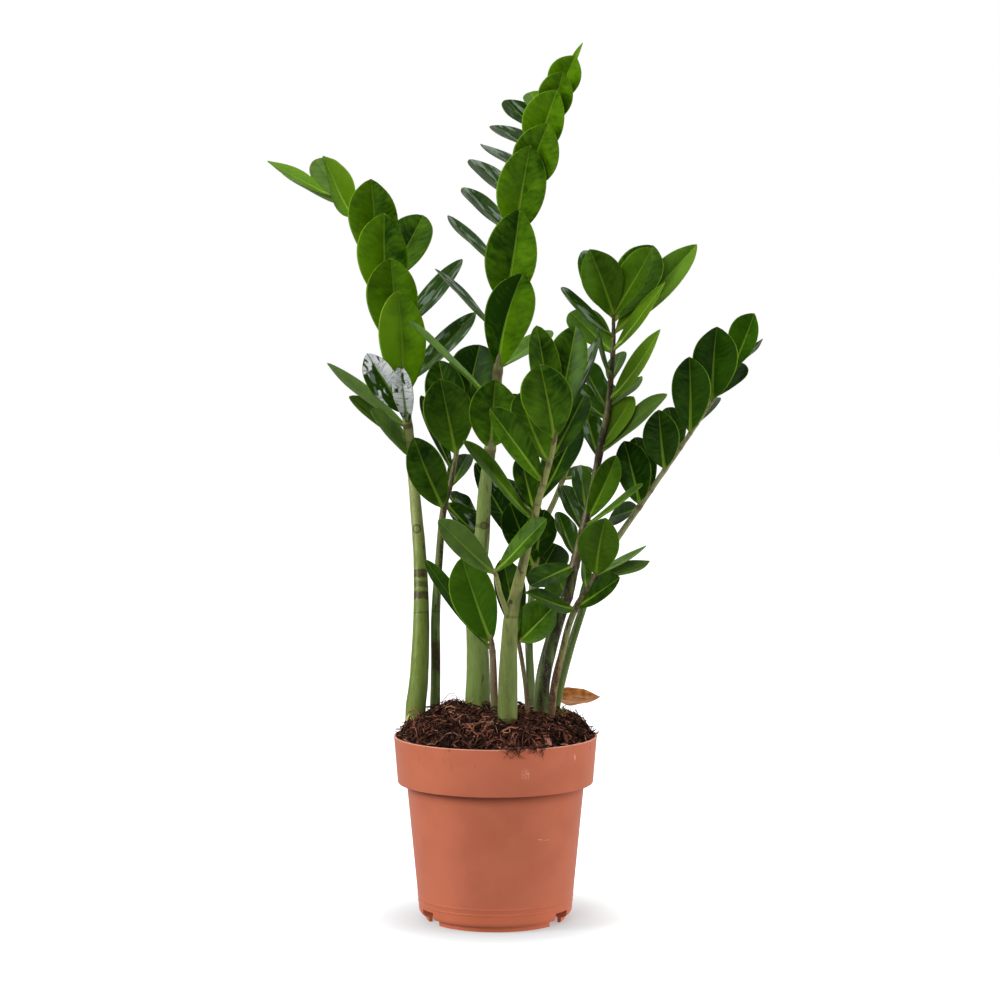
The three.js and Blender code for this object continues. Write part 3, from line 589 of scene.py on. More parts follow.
def add_leaf(batch, base, tip, width, roll, bow, habit, tone, gloss, dull):
    points, shares, real = leaf_shape(base, tip, width, roll, bow, habit)
    count = len(points)
    size = np.column_stack([real * MM, np.full(count, habit["seed"])])
    look = np.tile([tone, gloss, dull], (count, 1))
    # Painted light and shade: one half of the leaflet lighter than the other, as light falls across the
    # fold.
    look[:, 0] += habit["painted_half_shade"] * np.clip(shares[:, 1] / PAINTED_HALF_SHADE_BLEND, -1, 1)
    corners = [(*shares[i], under) for face, under in zip(LEAF_FACES, LEAF_UNDER) for i in face]
    batch.add(points, LEAF_FACES, {"leaf_size": size, "leaf_look": look}, {"leaf": corners})


def kind_of(name, join):
    return next((kind for kind, fronds in KINDS.items() if join in fronds.get(name, ())), "plain")


def leaflets(name, seed):
    """All the leaflets of a frond: one piece for each finish."""
    slot, tone = FROND_LOOKS[name]
    batches = {part: Batch() for part in ("leaflets", "satin_leaflets", "glossy_leaflets")}
    for branch in FRONDS[name]:
        stem = StemCurve(name, branch.stem)
        for order, (join, x, z, y, width, roll, *bow) in enumerate(branch.leaves):
            habit = leaf_habit(order, seed)
            more_tone, gloss, dull, part = KIND_LOOKS[kind_of(name, join)]
            own_tone, habit["painted_half_shade"] = LEAF_TONES.get(name, {}).get(join, (0, habit["painted_half_shade"]))
            if gloss == 1:
                habit |= WET_FORM
            if abs(roll) >= SIDE_ROLL:
                habit["fold"] = SIDE_FOLD
            habit |= LEAF_FORMS.get(name, {}).get(join, {})
            drawn = LEAF["bow"] + LEAF["bow_spread"] * math.sin(order * LEAF["bow_rule"])
            base, tip = stem.point(stem.at_seen_height(join)), in_depth(x, z, y + lean_at(name, join))
            add_leaf(
                batches[part], base, tip, width, math.radians(roll), bow[0] if bow else drawn, habit,
                tone=tone + habit["tone"] + more_tone + own_tone,
                gloss=habit["gloss"] if gloss is None else gloss, dull=dull,
            )
    for part, batch in batches.items():
        if batch.count:
            finish = LEAF_FINISHES.get(part, LEAF_FINISHES[slot])
            dress(batch.build(name + "_" + part, finish), slot, name)


# ---------------------------------------------------------------- stems

def stem_shape(stem, joins, amounts, side, seed):
    """A stem's rings, with a low swelling and a scar where each leaflet leaves it."""
    fine = [stem.point(t) for t in np.linspace(0, 1, 200)]
    length = sum(np.linalg.norm(b - a) for a, b in zip(fine, fine[1:]))
    rings = max(STEM["fewest_rings"], round(length / STEM["step"]))
    angles = np.arange(STEM["sides"]) / STEM["sides"] * TURN
    points, marks = [], []
    for ring in range(rings + 1):
        t = ring / rings
        centre = stem.point(t)
        along = unit(stem.point(min(1, t + STEM["aside"])) - stem.point(max(0, t - STEM["aside"])))
        right = unit(np.cross([0, 1, 0], along))
        back = np.cross(along, right)
        height = stem.seen_height(t)
        away = [(height - join) / STEM["swelling_reach"] for join in joins]
        scar = max((math.exp(-reach ** 2) for reach in away), default=0)
        amount = amounts[0] + (amounts[1] - amounts[0]) * t
        for angle in angles:
            grain = Vector((math.cos(angle), math.sin(angle), height * STEM["grain"] + seed))
            radius = stem.radius(t) * (1 + STEM["rough"] * noise.noise(grain) + STEM["swelling"] * scar)
            points.append(centre + radius * (right * math.cos(angle) + back * math.sin(angle)))
            # More bark towards the side; on the right side, at side 0, this is also painted shade.
            bias = STEM["bark_and_shade_bias"] * math.cos(angle - math.radians(side))
            marks.append((height * MM, scar, amount + bias))
    points += [fine[0], fine[-1]]
    marks += [marks[0], marks[-1]]
    return np.array(points), np.array(marks), capped_faces(rings + 1, STEM["sides"])


def spots(name, table):
    """The table's spots on a frond's stem: (place on its surface in metres, radius, hollowness)."""
    places = []
    for z, turn, radius, hollow in table.get(name, ()):
        stem = StemCurve(name, FRONDS[name][0].stem)
        t = stem.at_seen_height(z)
        out = np.array([math.sin(math.radians(turn)), -math.cos(math.radians(turn)), 0])
        places.append(((stem.point(t) + stem.radius(t) * out) * MM, radius, hollow))
    return places


def stems(name, seed):
    """A frond's stem with its side shoot, as one piece."""
    look = STEM_LOOKS[name]
    batch = Batch()
    for branch in FRONDS[name]:
        joins = [row[0] for row in branch.leaves]
        stem = StemCurve(name, branch.stem)
        points, marks, faces = stem_shape(stem, joins, look.amount, look.side, seed)
        batch.add(points, faces, {"stem": marks})
    dress(batch.build(name + "_stem", stem_finish(name, look)), FROND_LOOKS[name][0], name)


# ---------------------------------------------------------------- pot

def rounded(profile, corners, steps=5):
    """The profile [[r, z], ...] with each corner that corners names rounded to that radius."""
    line = list(np.array(profile, float))
    for number, radius in sorted(corners.items(), reverse=True):
        place = line[number]
        back, ahead = unit(line[number - 1] - place), unit(np.array(profile[number + 1]) - place)
        reach = radius / math.tan(math.acos(np.clip(back.dot(ahead), -1, 1)) / 2)
        line[number:number + 1] = [
            place + reach * ((1 - share) ** 2 * back + share ** 2 * ahead)
            for share in np.linspace(0, 1, steps)
        ]
    return line


def lathe(name, profile, sides, material):
    """A closed solid turned round the Z axis from a profile that starts and ends on it."""
    points = [point for radius, z in profile[1:-1] for point in ring_points(radius, z, sides)]
    points += [(0, 0, profile[0][1]), (0, 0, profile[-1][1])]
    return make_object(name, points, capped_faces(len(profile) - 2, sides), material)


def add_notches(tool, grow=0):
    """Blocks for the notches in the foot, or with grow the ones that leave that much wall round them."""
    length = POT["notch_outer"] - POT["notch_inner"] + grow
    size = (length, POT["notch_width"] + 2 * grow, 2 * (POT["notch_top"] + grow), 1)
    middle = Matrix.Translation(((POT["notch_outer"] - length / 2) * MM, 0, 0))
    for angle in NOTCH_ANGLES:
        turn = Matrix.Rotation(math.radians(angle), 4, "Z")
        bmesh.ops.create_cube(tool, size=MM, matrix=turn @ middle @ Matrix.Diagonal(size))


def add_drains(tool, sides=24):
    radius, depth = POT["drain"] * MM, 3 * POT["floor"] * MM
    for place in ring_points(POT["drain_ring"], POT["floor"], POT["drain_count"]):
        bmesh.ops.create_cone(
            tool, cap_ends=True, segments=sides, radius1=radius, radius2=radius, depth=depth,
            matrix=Matrix.Translation(Vector(place) * MM),
        )


def cut(piece, grow=0, drains=False):
    """Cuts the notches, and the drain holes if asked, out of the piece."""
    tool = bmesh.new()
    add_notches(tool, grow)
    if drains:
        add_drains(tool)
    mesh = bpy.data.meshes.new("blocks")
    tool.to_mesh(mesh)
    tool.free()
    take_out(piece, mesh)
    bpy.data.meshes.remove(mesh)


def take_out(piece, mesh):
    """Takes the mesh's volume out of the piece."""
    tool = bpy.data.objects.new("tool", mesh)
    bpy.context.scene.collection.objects.link(tool)
    boolean = piece.modifiers.new("cut", "BOOLEAN")
    boolean.operation, boolean.solver, boolean.object = "DIFFERENCE", "EXACT", tool
    bpy.context.view_layer.update()
    done = piece.evaluated_get(bpy.context.evaluated_depsgraph_get())
    piece.data = bpy.data.meshes.new_from_object(done)
    piece.modifiers.clear()
    bpy.data.objects.remove(tool)


def ridge(z, radius, height=0.16, width=0.5):
    """A fine raised line that the mould left round the body."""
    return [[radius, z - width], [radius + height, z - width / 2], [radius + height, z + width / 2],
            [radius, z + width]]


def inner_wall(gap):
    """The wall's inner face, or a face that keeps a gap from it, from the floor to the collar."""
    inset = POT["wall"] + gap
    ledge = POT["ledge"] + inset
    return [
        [0, POT["floor"] + gap], [POT["skirt"] - gap, POT["floor"] + gap],
        [POT["body_bottom"] - inset, POT["body_bottom_z"]], [POT["neck"] - inset, ledge],
        [POT["collar_bottom"] - inset, ledge],
    ]


def body_radius(z):
    slope = (POT["neck"] - POT["body_bottom"]) / (POT["ledge"] - POT["body_bottom_z"])
    return POT["body_bottom"] + slope * (z - POT["body_bottom_z"])


def make_pot():
    p = POT
    outside = [
        [0, 0], [p["pad"], 0], [p["pad"] + p["draft"], p["floor_under"]],
        [p["foot_inner"] - p["draft"], p["floor_under"]], [p["foot_inner"], 0], [p["foot"], 0],
        [p["foot"] + p["draft"], p["skirt_z"]], [p["skirt"] - 0.6, p["skirt_z"]],
        [p["body_bottom"] - 0.3, p["skirt_z"] + 1], [body_radius(BODY_START), BODY_START],
        *(place for z in MOULD_LINES for place in ridge(z, body_radius(z))),
        [p["neck"], p["ledge"]], [p["collar_bottom"], p["ledge"]], [p["rim"], p["height"]],
        [0, p["height"]],
    ]
    last = len(outside) - 2
    corners = {1: 0.4, 3: 0.8, 4: 0.3, 5: 0.5, 7: 0.4, 8: 4.6, last - 2: 1, last - 1: 0.7, last: 0.35}
    inside = inner_wall(0) + [
        [p["rim"] - p["wall"], p["height"]], [p["rim"] - p["wall"] + 0.4, p["height"] + 0.4],
        [0, p["height"] + 0.4],
    ]
    material = pot_finish()
    hollow = lathe("hollow", rounded(inside, {2: 2.5, 3: 1.5, 4: 0.6}), p["sides"], material)
    cut(hollow, grow=p["wall"])
    pot = lathe("pot_shell", rounded(outside, corners), p["sides"], material)
    take_out(pot, hollow.data)
    bpy.data.objects.remove(hollow)
    cut(pot, drains=True)
    pot.data.set_sharp_from_angle(angle=CREASE)
    dress(pot, "pot_plastic", "pot")


# ---------------------------------------------------------------- soil

def soil_height(radius):
    return SOIL["edge_z"] + SOIL["rise"] * np.clip(1 - (radius / SOIL["mound"]) ** 2, 0, 1) ** SOIL["power"]


def soil_surface(x, y):
    """The height of the soil at x, y, with its coarse lumps."""
    coarse = np.sin(0.19 * x + 1) * np.cos(0.23 * y) + np.sin(0.41 * x - 0.37 * y) / 2
    fine = np.sin(0.83 * x + 0.6 * np.cos(0.5 * y)) * np.cos(0.91 * y + 2)
    radius = np.hypot(x, y)
    lumps = SOIL["lump"] * (coarse + 0.55 * fine)
    for middle_x, middle_y, reach, height in HEAPS:
        lumps = lumps + height * np.exp(-((x - middle_x) ** 2 + (y - middle_y) ** 2) / reach ** 2)
    return soil_height(radius) + lumps * smooth_step(SOIL["edge"], SOIL["edge"] - 5, radius)


def make_soil():
    """The soil as one closed body, rough on top and plain where the pot hides it."""
    sides, rings = SOIL["sides"], SOIL["rings"]
    edge = SOIL["edge"] - SOIL["gap"]
    points = []
    for ring in range(1, rings + 1):
        radius = edge * ring / rings
        roughness = SOIL["crumb"] * float(smooth_step(SOIL["edge"], SOIL["edge"] - 6, radius))
        for x, y, _ in ring_points(radius, 0, sides):
            crumbs = noise.fractal(Vector((x, y, 7)) * 0.35, 0.9, 2.1, 4)
            points.append((x, y, float(soil_surface(x, y)) + crumbs * roughness))
    wall = inner_wall(SOIL["gap"])
    for radius, z in wall[:0:-1]:
        points += ring_points(radius, z, sides)
    points += [(0, 0, float(soil_surface(0, 0))), (0, 0, wall[0][1])]
    faces = [face[::-1] for face in capped_faces(rings + len(wall) - 1, sides)]
    soil = make_object("soil_bed", points, faces, soil_finish())
    cut(soil, grow=POT["wall"] + SOIL["gap"])
    dress(soil, "potting_soil", "soil")


def add_tubes(batch, paths, radii, tints, sides, draw):
    """Tubes along paths, an array of shape (tubes, points, 3), with radii of shape (tubes, points)."""
    tubes, rings, _ = paths.shape
    ahead = np.gradient(paths, axis=1)
    ahead /= np.linalg.norm(ahead, axis=2, keepdims=True)
    level = np.cross(ahead, draw.normal(size=(tubes, 1, 3)))
    level /= np.linalg.norm(level, axis=2, keepdims=True)
    upright = np.cross(ahead, level)
    angles = np.arange(sides) / sides * TURN
    spread = (level[:, :, None] * np.cos(angles)[:, None] + upright[:, :, None] * np.sin(angles)[:, None])
    rims = paths[:, :, None] + spread * radii[:, :, None, None]
    points = np.concatenate([rims.reshape(tubes, -1, 3), paths[:, :1], paths[:, -1:]], axis=1)
    count = points.shape[1]
    faces = repeated(capped_faces(rings, sides), count, tubes)
    batch.add(points.reshape(-1, 3), faces, {"tint": np.repeat(tints, count, axis=0)})


def polar(radius, angle):
    return radius * np.cos(angle), radius * np.sin(angle)


def keep_in_pot(points):
    """Pulls points in that would pass through the pot's wall. Above the rim they may reach past it."""
    radius = np.hypot(points[..., 0], points[..., 1])
    limit = np.where(points[..., 2] > POT["height"] + 1, POT["rim"] + 1, SOIL["edge"] - 0.8)
    points[..., :2] *= np.minimum(1, limit / np.maximum(radius, 1e-6))[..., None]
    return points


def strewn(draw, count, innermost=0.0, outermost=0.985):
    """Places on the soil, evenly spread between two shares of its radius, with a heading for each."""
    radius = (SOIL["edge"] - 1) * np.sqrt(draw.uniform(innermost ** 2, outermost ** 2, count))
    return *polar(radius, draw.uniform(0, TURN, count)), draw.uniform(0, TURN, count)


def on_soil(x, y, lift):
    return np.stack([x, y, soil_surface(x, y) + lift], axis=1)


def strands(draw, count, lengths, radii, lift, bend, steps, innermost=0.0):
    """Paths of strands that lie on the soil and rise from it by lift, with their radii."""
    x, y, heading = strewn(draw, count, innermost)
    length = draw.uniform(*lengths, count)[:, None]
    turn = draw.normal(0, bend, count)[:, None]
    along = np.linspace(0, 1, steps)[None, :]
    bearing = heading[:, None] + turn * along
    step = length / (steps - 1)
    dx, dy = np.cos(bearing) * step, np.sin(bearing) * step
    px = x[:, None] + np.cumsum(dx, axis=1) - dx
    py = y[:, None] + np.cumsum(dy, axis=1) - dy
    ground = soil_surface(px, py)
    tilt = draw.normal(*lift, count)[:, None]
    arch = draw.uniform(*STRAND["arch"], count)[:, None] * length * np.sin(math.pi * along)
    height = ground + STRAND["lift"] + tilt * along * length + arch
    paths = keep_in_pot(np.stack([px, py, np.maximum(height, ground - STRAND["deepest"])], axis=2))
    taper = 1 - STRAND["taper"] * np.abs(2 * along - 1) ** 3
    return paths, draw.uniform(*radii, count)[:, None] * taper


def draped(draw, count):
    """Paths of strands that hang over the pot's rim, in front, with their radii."""
    shape = (count, len(DRAPE_OUT))
    angle = np.radians(draw.uniform(-84, -62, count))[:, None] + np.radians(draw.normal(0, 2, shape))
    hang = draw.uniform(0.3, 1, count)[:, None]
    radius = POT["rim"] + DRAPE_OUT + draw.uniform(0, 0.5, shape)
    z = POT["height"] + STRAND["lift"] + DRAPE_UP[None, :] * hang
    paths = np.stack([*polar(radius, angle), z], axis=2)
    return paths, draw.uniform(0.25, 0.6, count)[:, None] * np.linspace(1, 0.4, len(DRAPE_OUT))


def add_crumbs(batch, draw, places, sizes, tints):
    """Rough crumbs, each a bent ball of twelve points, at places with half-lengths sizes."""
    ball = bmesh.new()
    bmesh.ops.create_icosphere(ball, subdivisions=1, radius=1)
    shape = np.array([v.co for v in ball.verts])
    faces = [tuple(v.index for v in face.verts) for face in ball.faces]
    ball.free()
    count = len(places)
    turns = np.linalg.qr(draw.normal(size=(count, 3, 3)))[0]
    turns[np.linalg.det(turns) < 0, 0] *= -1
    rough = draw.uniform(0.55, 1.15, (count, len(shape), 1))
    points = np.einsum("nij,nkj->nki", turns, shape * rough * sizes[:, None]) + places[:, None]
    faces = repeated(faces, len(shape), count)
    batch.add(points.reshape(-1, 3), faces, {"tint": np.repeat(tints, len(shape), axis=0)})


def tint_table(shades, root=0.0, white=0.0):
    """Tints: a shade from 0 to 1, a share of pale root colour and a share of white."""
    ones = np.ones(len(shades))
    return np.stack([shades, root * ones, white * ones], axis=1)


# Sets of coir strands: count, lengths, radii, lift (middle and spread), bend, steps, sides and the
# share of the soil's radius from which they lie. The last set is loose and stands up near the rim.
STRANDS = [
    (1000, (6, 17), (0.35, 0.95), (0.07, 0.22), 1.3, 7, 4, 0),
    (1150, (6, 18), (0.16, 0.38), (0.07, 0.18), 1.6, 7, 3, 0),
    (420, (5, 11), (0.25, 0.7), (0.4, 0.22), 1.2, 6, 4, 0.9),
]
# How far a strand's middle is arched, as a share of its length, how high it lies, how deep it may
# sink into the soil, and how much thinner its ends are.
STRAND = {"arch": (-0.08, 0.16), "lift": 0.5, "deepest": 0.6, "taper": 0.6}
# The points of a strand that hangs over the pot's rim: how far they are out from it, and above it.
DRAPE_OUT = np.array([-6, -3, -0.8, 0.6, 0.5, 0.4])
DRAPE_UP = np.array([0.6, 1.2, 0.8, -0.4, -3.5, -8])
DRAPED, CRUMBS, RIM_CRUMBS, SPECKS, ROOTS = 26, 2600, 80, 60, 70
LITTER_SEED = 7
# Light bark chips on the soil: their places, half-lengths and tints.
CHIPS = [(42, -63), (-20, -52), (12, -40)]
CHIP_SIZE = [6.5, 3.2, 1.1]
CHIP_TINT = tint_table(np.array([0.9, 0.45, 0.5]), root=0.35)


def make_fibres(draw):
    fibres = Batch()
    for count, lengths, radii, lift, bend, steps, sides, innermost in STRANDS:
        paths, thickness = strands(draw, count, lengths, radii, lift, bend, steps, innermost)
        add_tubes(fibres, paths, thickness, tint_table(draw.beta(0.36, 1.5, count)), sides, draw)
    paths, thickness = draped(draw, DRAPED)
    add_tubes(fibres, paths, thickness, tint_table(draw.beta(0.8, 2, DRAPED)), 4, draw)
    dress(fibres.build("soil_fibres", litter_finish("soil_fibre")), "potting_soil")


def make_crumbs(draw):
    """Chips, crumbs over all the soil, crumbs on the pot's rim in front, and white specks."""
    crumbs = Batch()
    places = on_soil(*np.transpose(CHIPS), 1.8)
    add_crumbs(crumbs, draw, places, np.tile(CHIP_SIZE, (len(CHIPS), 1)), CHIP_TINT)

    x, y, _ = strewn(draw, CRUMBS)
    sizes = 0.6 + 2.6 * draw.beta(1.2, 3.5, (CRUMBS, 1)) * draw.uniform(0.5, 1.3, (CRUMBS, 3))
    places = keep_in_pot(on_soil(x, y, draw.uniform(-0.6, 0.9, CRUMBS)))
    add_crumbs(crumbs, draw, places, sizes, tint_table(draw.beta(0.9, 3.2, CRUMBS)))

    angle = np.radians(draw.uniform(-83, -62, RIM_CRUMBS))
    x, y = polar(POT["rim"] + draw.uniform(-4, 0.5, RIM_CRUMBS), angle)
    places = np.stack([x, y, np.full(RIM_CRUMBS, POT["height"] + 0.8)], axis=1)
    sizes = draw.uniform(0.6, 2, (RIM_CRUMBS, 3))
    add_crumbs(crumbs, draw, places, sizes, tint_table(draw.beta(1, 4, RIM_CRUMBS)))

    x, y, _ = strewn(draw, SPECKS)
    places = on_soil(x, y, 1.2)
    white = tint_table(np.full(SPECKS, 0.8), white=0.8)
    add_crumbs(crumbs, draw, places, draw.uniform(0.3, 0.7, (SPECKS, 3)), white)
    dress(crumbs.build("soil_crumbs", litter_finish("soil_crumb"), smooth=False), "potting_soil")


def make_roots(draw):
    roots = Batch()
    paths, radii = strands(draw, ROOTS, (9, 26), (0.24, 0.5), (0.04, 0.08), 1.9, 14)
    tints = tint_table(draw.uniform(0.3, 0.9, ROOTS), root=0.8)
    add_tubes(roots, paths + [0, 0, 0.9], radii, tints, 6, draw)
    dress(roots.build("soil_roots", litter_finish("soil_root")), "potting_soil")


# ---------------------------------------------------------------- dry leaf and sprout

# A seedling on the soil: its foot (x, y), the tips of its leaves from there (x, y, z), their width
# and how far they bend.
SPROUT = (56, 8)
SPROUT_TIPS = [(-6, -2, 2.5), (-2.5, 1, 6), (1, -1, 9), (4.5, 0, 5)]
SPROUT_WIDTH, SPROUT_BOW, SPROUT_SEED = 1.7, 0.08, 77
DRY_BOW, DRY_SEED = -0.04, 91
DRY_FORM = {
    "fold": math.radians(30), "wave_height": 0.1, "waves": 1.7, "skew": 0.6, "curve": 0.05,
    "fullness": 0.85,
}


def make_sprout():
    batch = Batch()
    x, y = SPROUT
    foot = np.array([x, y, float(soil_surface(x, y)) + 0.5])
    for order, tip in enumerate(SPROUT_TIPS):
        habit = leaf_habit(order, SPROUT_SEED)
        add_leaf(
            batch, foot, foot + tip, SPROUT_WIDTH, 0.6 * order - 1, SPROUT_BOW, habit,
            tone=0.9, gloss=0.3, dull=0,
        )
    dress(batch.build("sprout", LEAF_FINISHES["leaf"]), "leaf")


def make_dry_leaf():
    material = dry_finish()
    batch = Batch()
    stem = StemCurve("dry_leaf", DRY_LEAF.stem)
    join, x, z, y, width, roll = DRY_LEAF.leaves[0]
    base, habit = stem.point(stem.at_seen_height(join)), leaf_habit(0, DRY_SEED) | DRY_FORM
    tip = in_depth(x, z, y)
    add_leaf(batch, base, tip, width, math.radians(roll), DRY_BOW, habit, tone=0.5, gloss=0.3, dull=0)
    dress(batch.build("dry_leaf_blade", material), "dead_leaf", "dry_leaf")
    points, marks, faces = stem_shape(stem, [], (0.5, 0.5), 0, DRY_SEED)
    dress(make_object("dry_leaf_stalk", points, faces, material, {"stem": marks}), "dead_leaf", "dry_leaf")


# ---------------------------------------------------------------- finishes

# How far apart a leaflet's veins are, along it, in millimetres, and how far they run back towards
# its stem for each millimetre from the midrib.
VEIN_SPACING, VEIN_SLANT = 6.2, 0.9
# Light scuffs on the pot's front: (x, z, half width, half height, strength)
SCUFFS = [(39, 76.4, 6, 0.7, 0.5), (64.8, 142.2, 1, 4, 0.7), (24.4, 133, 4, 6, 0.3)]


class Wire:
    """A node's output that takes part in arithmetic: each operation adds a Math node."""

    def __init__(self, graph, socket):
        self.graph, self.socket = graph, socket

    def __add__(self, other):
        return self.graph.math("ADD", self, other)

    def __sub__(self, other):
        return self.graph.math("SUBTRACT", self, other)

    def __mul__(self, other):
        return self.graph.math("MULTIPLY", self, other)

    def __abs__(self):
        return self.graph.math("ABSOLUTE", self)

    __radd__, __rmul__ = __add__, __mul__


class Graph:
    """Adds nodes to a tree. Inputs are wires, numbers, arrays, or colours as tuples from 0 to 255."""

    def __init__(self, tree):
        self.tree = tree

    def node(self, kind, inputs=(), **settings):
        node = self.tree.nodes.new("ShaderNode" + kind)
        for name, value in settings.items():
            setattr(node, name, value)
        for name, value in dict(inputs).items():
            self.feed(node.inputs[name], value)
        return node

    def feed(self, socket, value):
        if isinstance(value, Wire):
            self.tree.links.new(value.socket, socket)
        else:
            socket.default_value = rgb(*value) if isinstance(value, tuple) else value

    def wire(self, kind, inputs=(), output=0, **settings):
        """A new node's output."""
        return Wire(self, self.node(kind, inputs, **settings).outputs[output])

    def math(self, operation, *values):
        return self.wire("Math", enumerate(values), operation=operation)

    def vector_math(self, operation, *vectors):
        """An operation that gives a number."""
        return self.wire("VectorMath", enumerate(vectors), "Value", operation=operation)

    def ramp(self, value, low, high, at_low=0, at_high=1):
        """A smooth step from at_low to at_high while the value goes from low to high."""
        inputs = enumerate((value, low, high, at_low, at_high))
        return self.wire("MapRange", inputs, interpolation_type="SMOOTHSTEP")

    def ramp_mm(self, value, low, high, at_low=0, at_high=1):
        """A ramp between two lengths in millimetres, for a value in metres."""
        return self.ramp(value, low * MM, high * MM, at_low, at_high)

    def mix(self, share, first, second):
        return self.wire("Mix", {0: share, 6: first, 7: second}, 2, data_type="RGBA", clamp_factor=True)

    def split(self, vector):
        return [Wire(self, socket) for socket in self.node("SeparateXYZ", {0: vector}).outputs]

    def join(self, *parts):
        return self.wire("CombineXYZ", enumerate(parts))

    def noise(self, place, size, detail=3, roughness=0.5):
        """Soft noise from 0 to 1 whose patches are about size millimetres across."""
        inputs = {"Vector": place, "Scale": 1 / (size * MM), "Detail": detail, "Roughness": roughness}
        return self.wire("TexNoise", inputs)

    def place(self):
        """The place on the surface in the frame, in metres. Every piece sits at the origin."""
        return self.wire("TexCoord", output="Object")

    def attribute(self, name):
        return self.split(self.wire("Attribute", output="Vector", attribute_name=name))


class Finish(Graph):
    """A Principled material. Its colour is laid on coat by coat."""

    def __init__(self, name, specular):
        self.material = bpy.data.materials.new(name)
        self.material.use_nodes = True
        super().__init__(self.material.node_tree)
        self.sockets = self.tree.nodes["Principled BSDF"].inputs
        self.sockets["Specular IOR Level"].default_value = specular
        self.colour = None

    def coat(self, share, colour):
        """Lays a colour over what is there, by its share from 0 to 1."""
        self.colour = self.mix(share, self.colour, colour)

    def done(self, roughness, height=None, relief=0.2):
        """Relief is how far a height from 0 to 1 stands out, in millimetres."""
        self.feed(self.sockets["Base Color"], self.colour)
        self.feed(self.sockets["Roughness"], roughness)
        if height is not None:
            bump = self.wire("Bump", {"Height": height, "Distance": relief * MM, "Strength": 1})
            self.feed(self.sockets["Normal"], bump)
        return self.material


class LeafFinish(Finish):
    """The marks, colour and relief that all leaf finishes share. Places are along the leaflet (run)
    and out from its midrib, in metres, or shares of its length and half width."""

    def __init__(self, name, specular, dark, bright):
        super().__init__(name, specular)
        self.along, across, self.under = self.attribute("leaf")
        self.run, self.out, self.seed = self.attribute("leaf_size")
        tone, self.gloss, self.dull = self.attribute("leaf_look")
        side, self.rim = abs(self.out), abs(across)
        place = self.join(self.run, self.out, self.seed)

        self.slant = self.run - side * VEIN_SLANT + self.noise(place, 11) * 0.011
        wave = self.math("SINE", self.slant * (TURN / (VEIN_SPACING * MM)))
        away = self.ramp_mm(side, 0.6, 3) * self.ramp(self.rim, 0.95, 0.6)
        veins = self.ramp(wave, 0.3, 1) * away * self.ramp(self.noise(place, 9, 2), 0.42, 0.62)
        streaks = self.noise(self.join(self.slant, (self.run + side) * 0.3, self.seed), 4)
        self.patches = self.noise(place, 17, 2)
        self.midrib = self.ramp_mm(side + self.ramp(self.along, 0.05, 0.9, 0, 0.9 * MM), 1.6, 0.9)
        edge = self.ramp(self.rim, 0.93, 0.975)

        towards_tip = self.ramp(self.along, 0.95, 0.2, -0.12, 0.1)
        shade = tone + (streaks - 0.5) * 0.9 + (self.patches - 0.5) + towards_tip
        fresh = self.ramp(tone, 0.85, 1.1)
        self.colour = self.mix(shade, dark, bright)
        self.coat(fresh * self.ramp(self.along, 0.1, 0.9, 0.1, 0.5), (122, 162, 36))
        self.coat(veins * self.ramp(fresh, 0, 1, 0.12, 0.35), (96, 132, 14))
        rib_colour = self.mix(fresh, (122, 156, 40), (158, 190, 78))
        self.coat(self.midrib * self.ramp(self.along, 0.1, 1, 0.85, 0.4), rib_colour)
        edge_colour = self.mix(fresh, (112, 150, 32), (140, 176, 60))
        self.coat(edge * self.ramp(tone, 0.2, 0.6, 0.4, 0.7), edge_colour)
        petiole, tip = self.ramp(self.along, 0.13, 0.03), self.ramp(self.along, 0.985, 0.998)
        self.coat(petiole * 0.7, (110, 134, 48))
        self.coat(tip * 0.6, (112, 92, 48))
        self.coat(self.under * 0.5, (72, 102, 36))
        dots = self.ramp(self.noise(place, 1.6, 1), 0.8, 0.83)
        self.coat(dots * 0.4, (150, 168, 110))
        self.relief = veins * 0.3 + streaks * 0.7 + self.noise(place, 0.7, 2) * 0.08

    def along_noise(self, share, size, detail):
        """Noise whose patches are drawn out along the leaflet, to their size divided by share."""
        return self.noise(self.join(self.run * share, self.out, self.seed), size, detail)


def leaf_finish(name, dark, bright):
    """Smooth leaf green with a light rib and rim and faint veins."""
    f = LeafFinish(name, 0.12, dark, bright)
    f.coat(f.dull * 0.65, (112, 134, 76))
    rougher = f.under * 0.16 + f.dull * 0.15
    roughness = f.ramp(f.gloss, 0, 1, 0.42, 0.2) + rougher + (f.patches - 0.5) * 0.16
    return f.done(roughness, f.relief, 0.16)


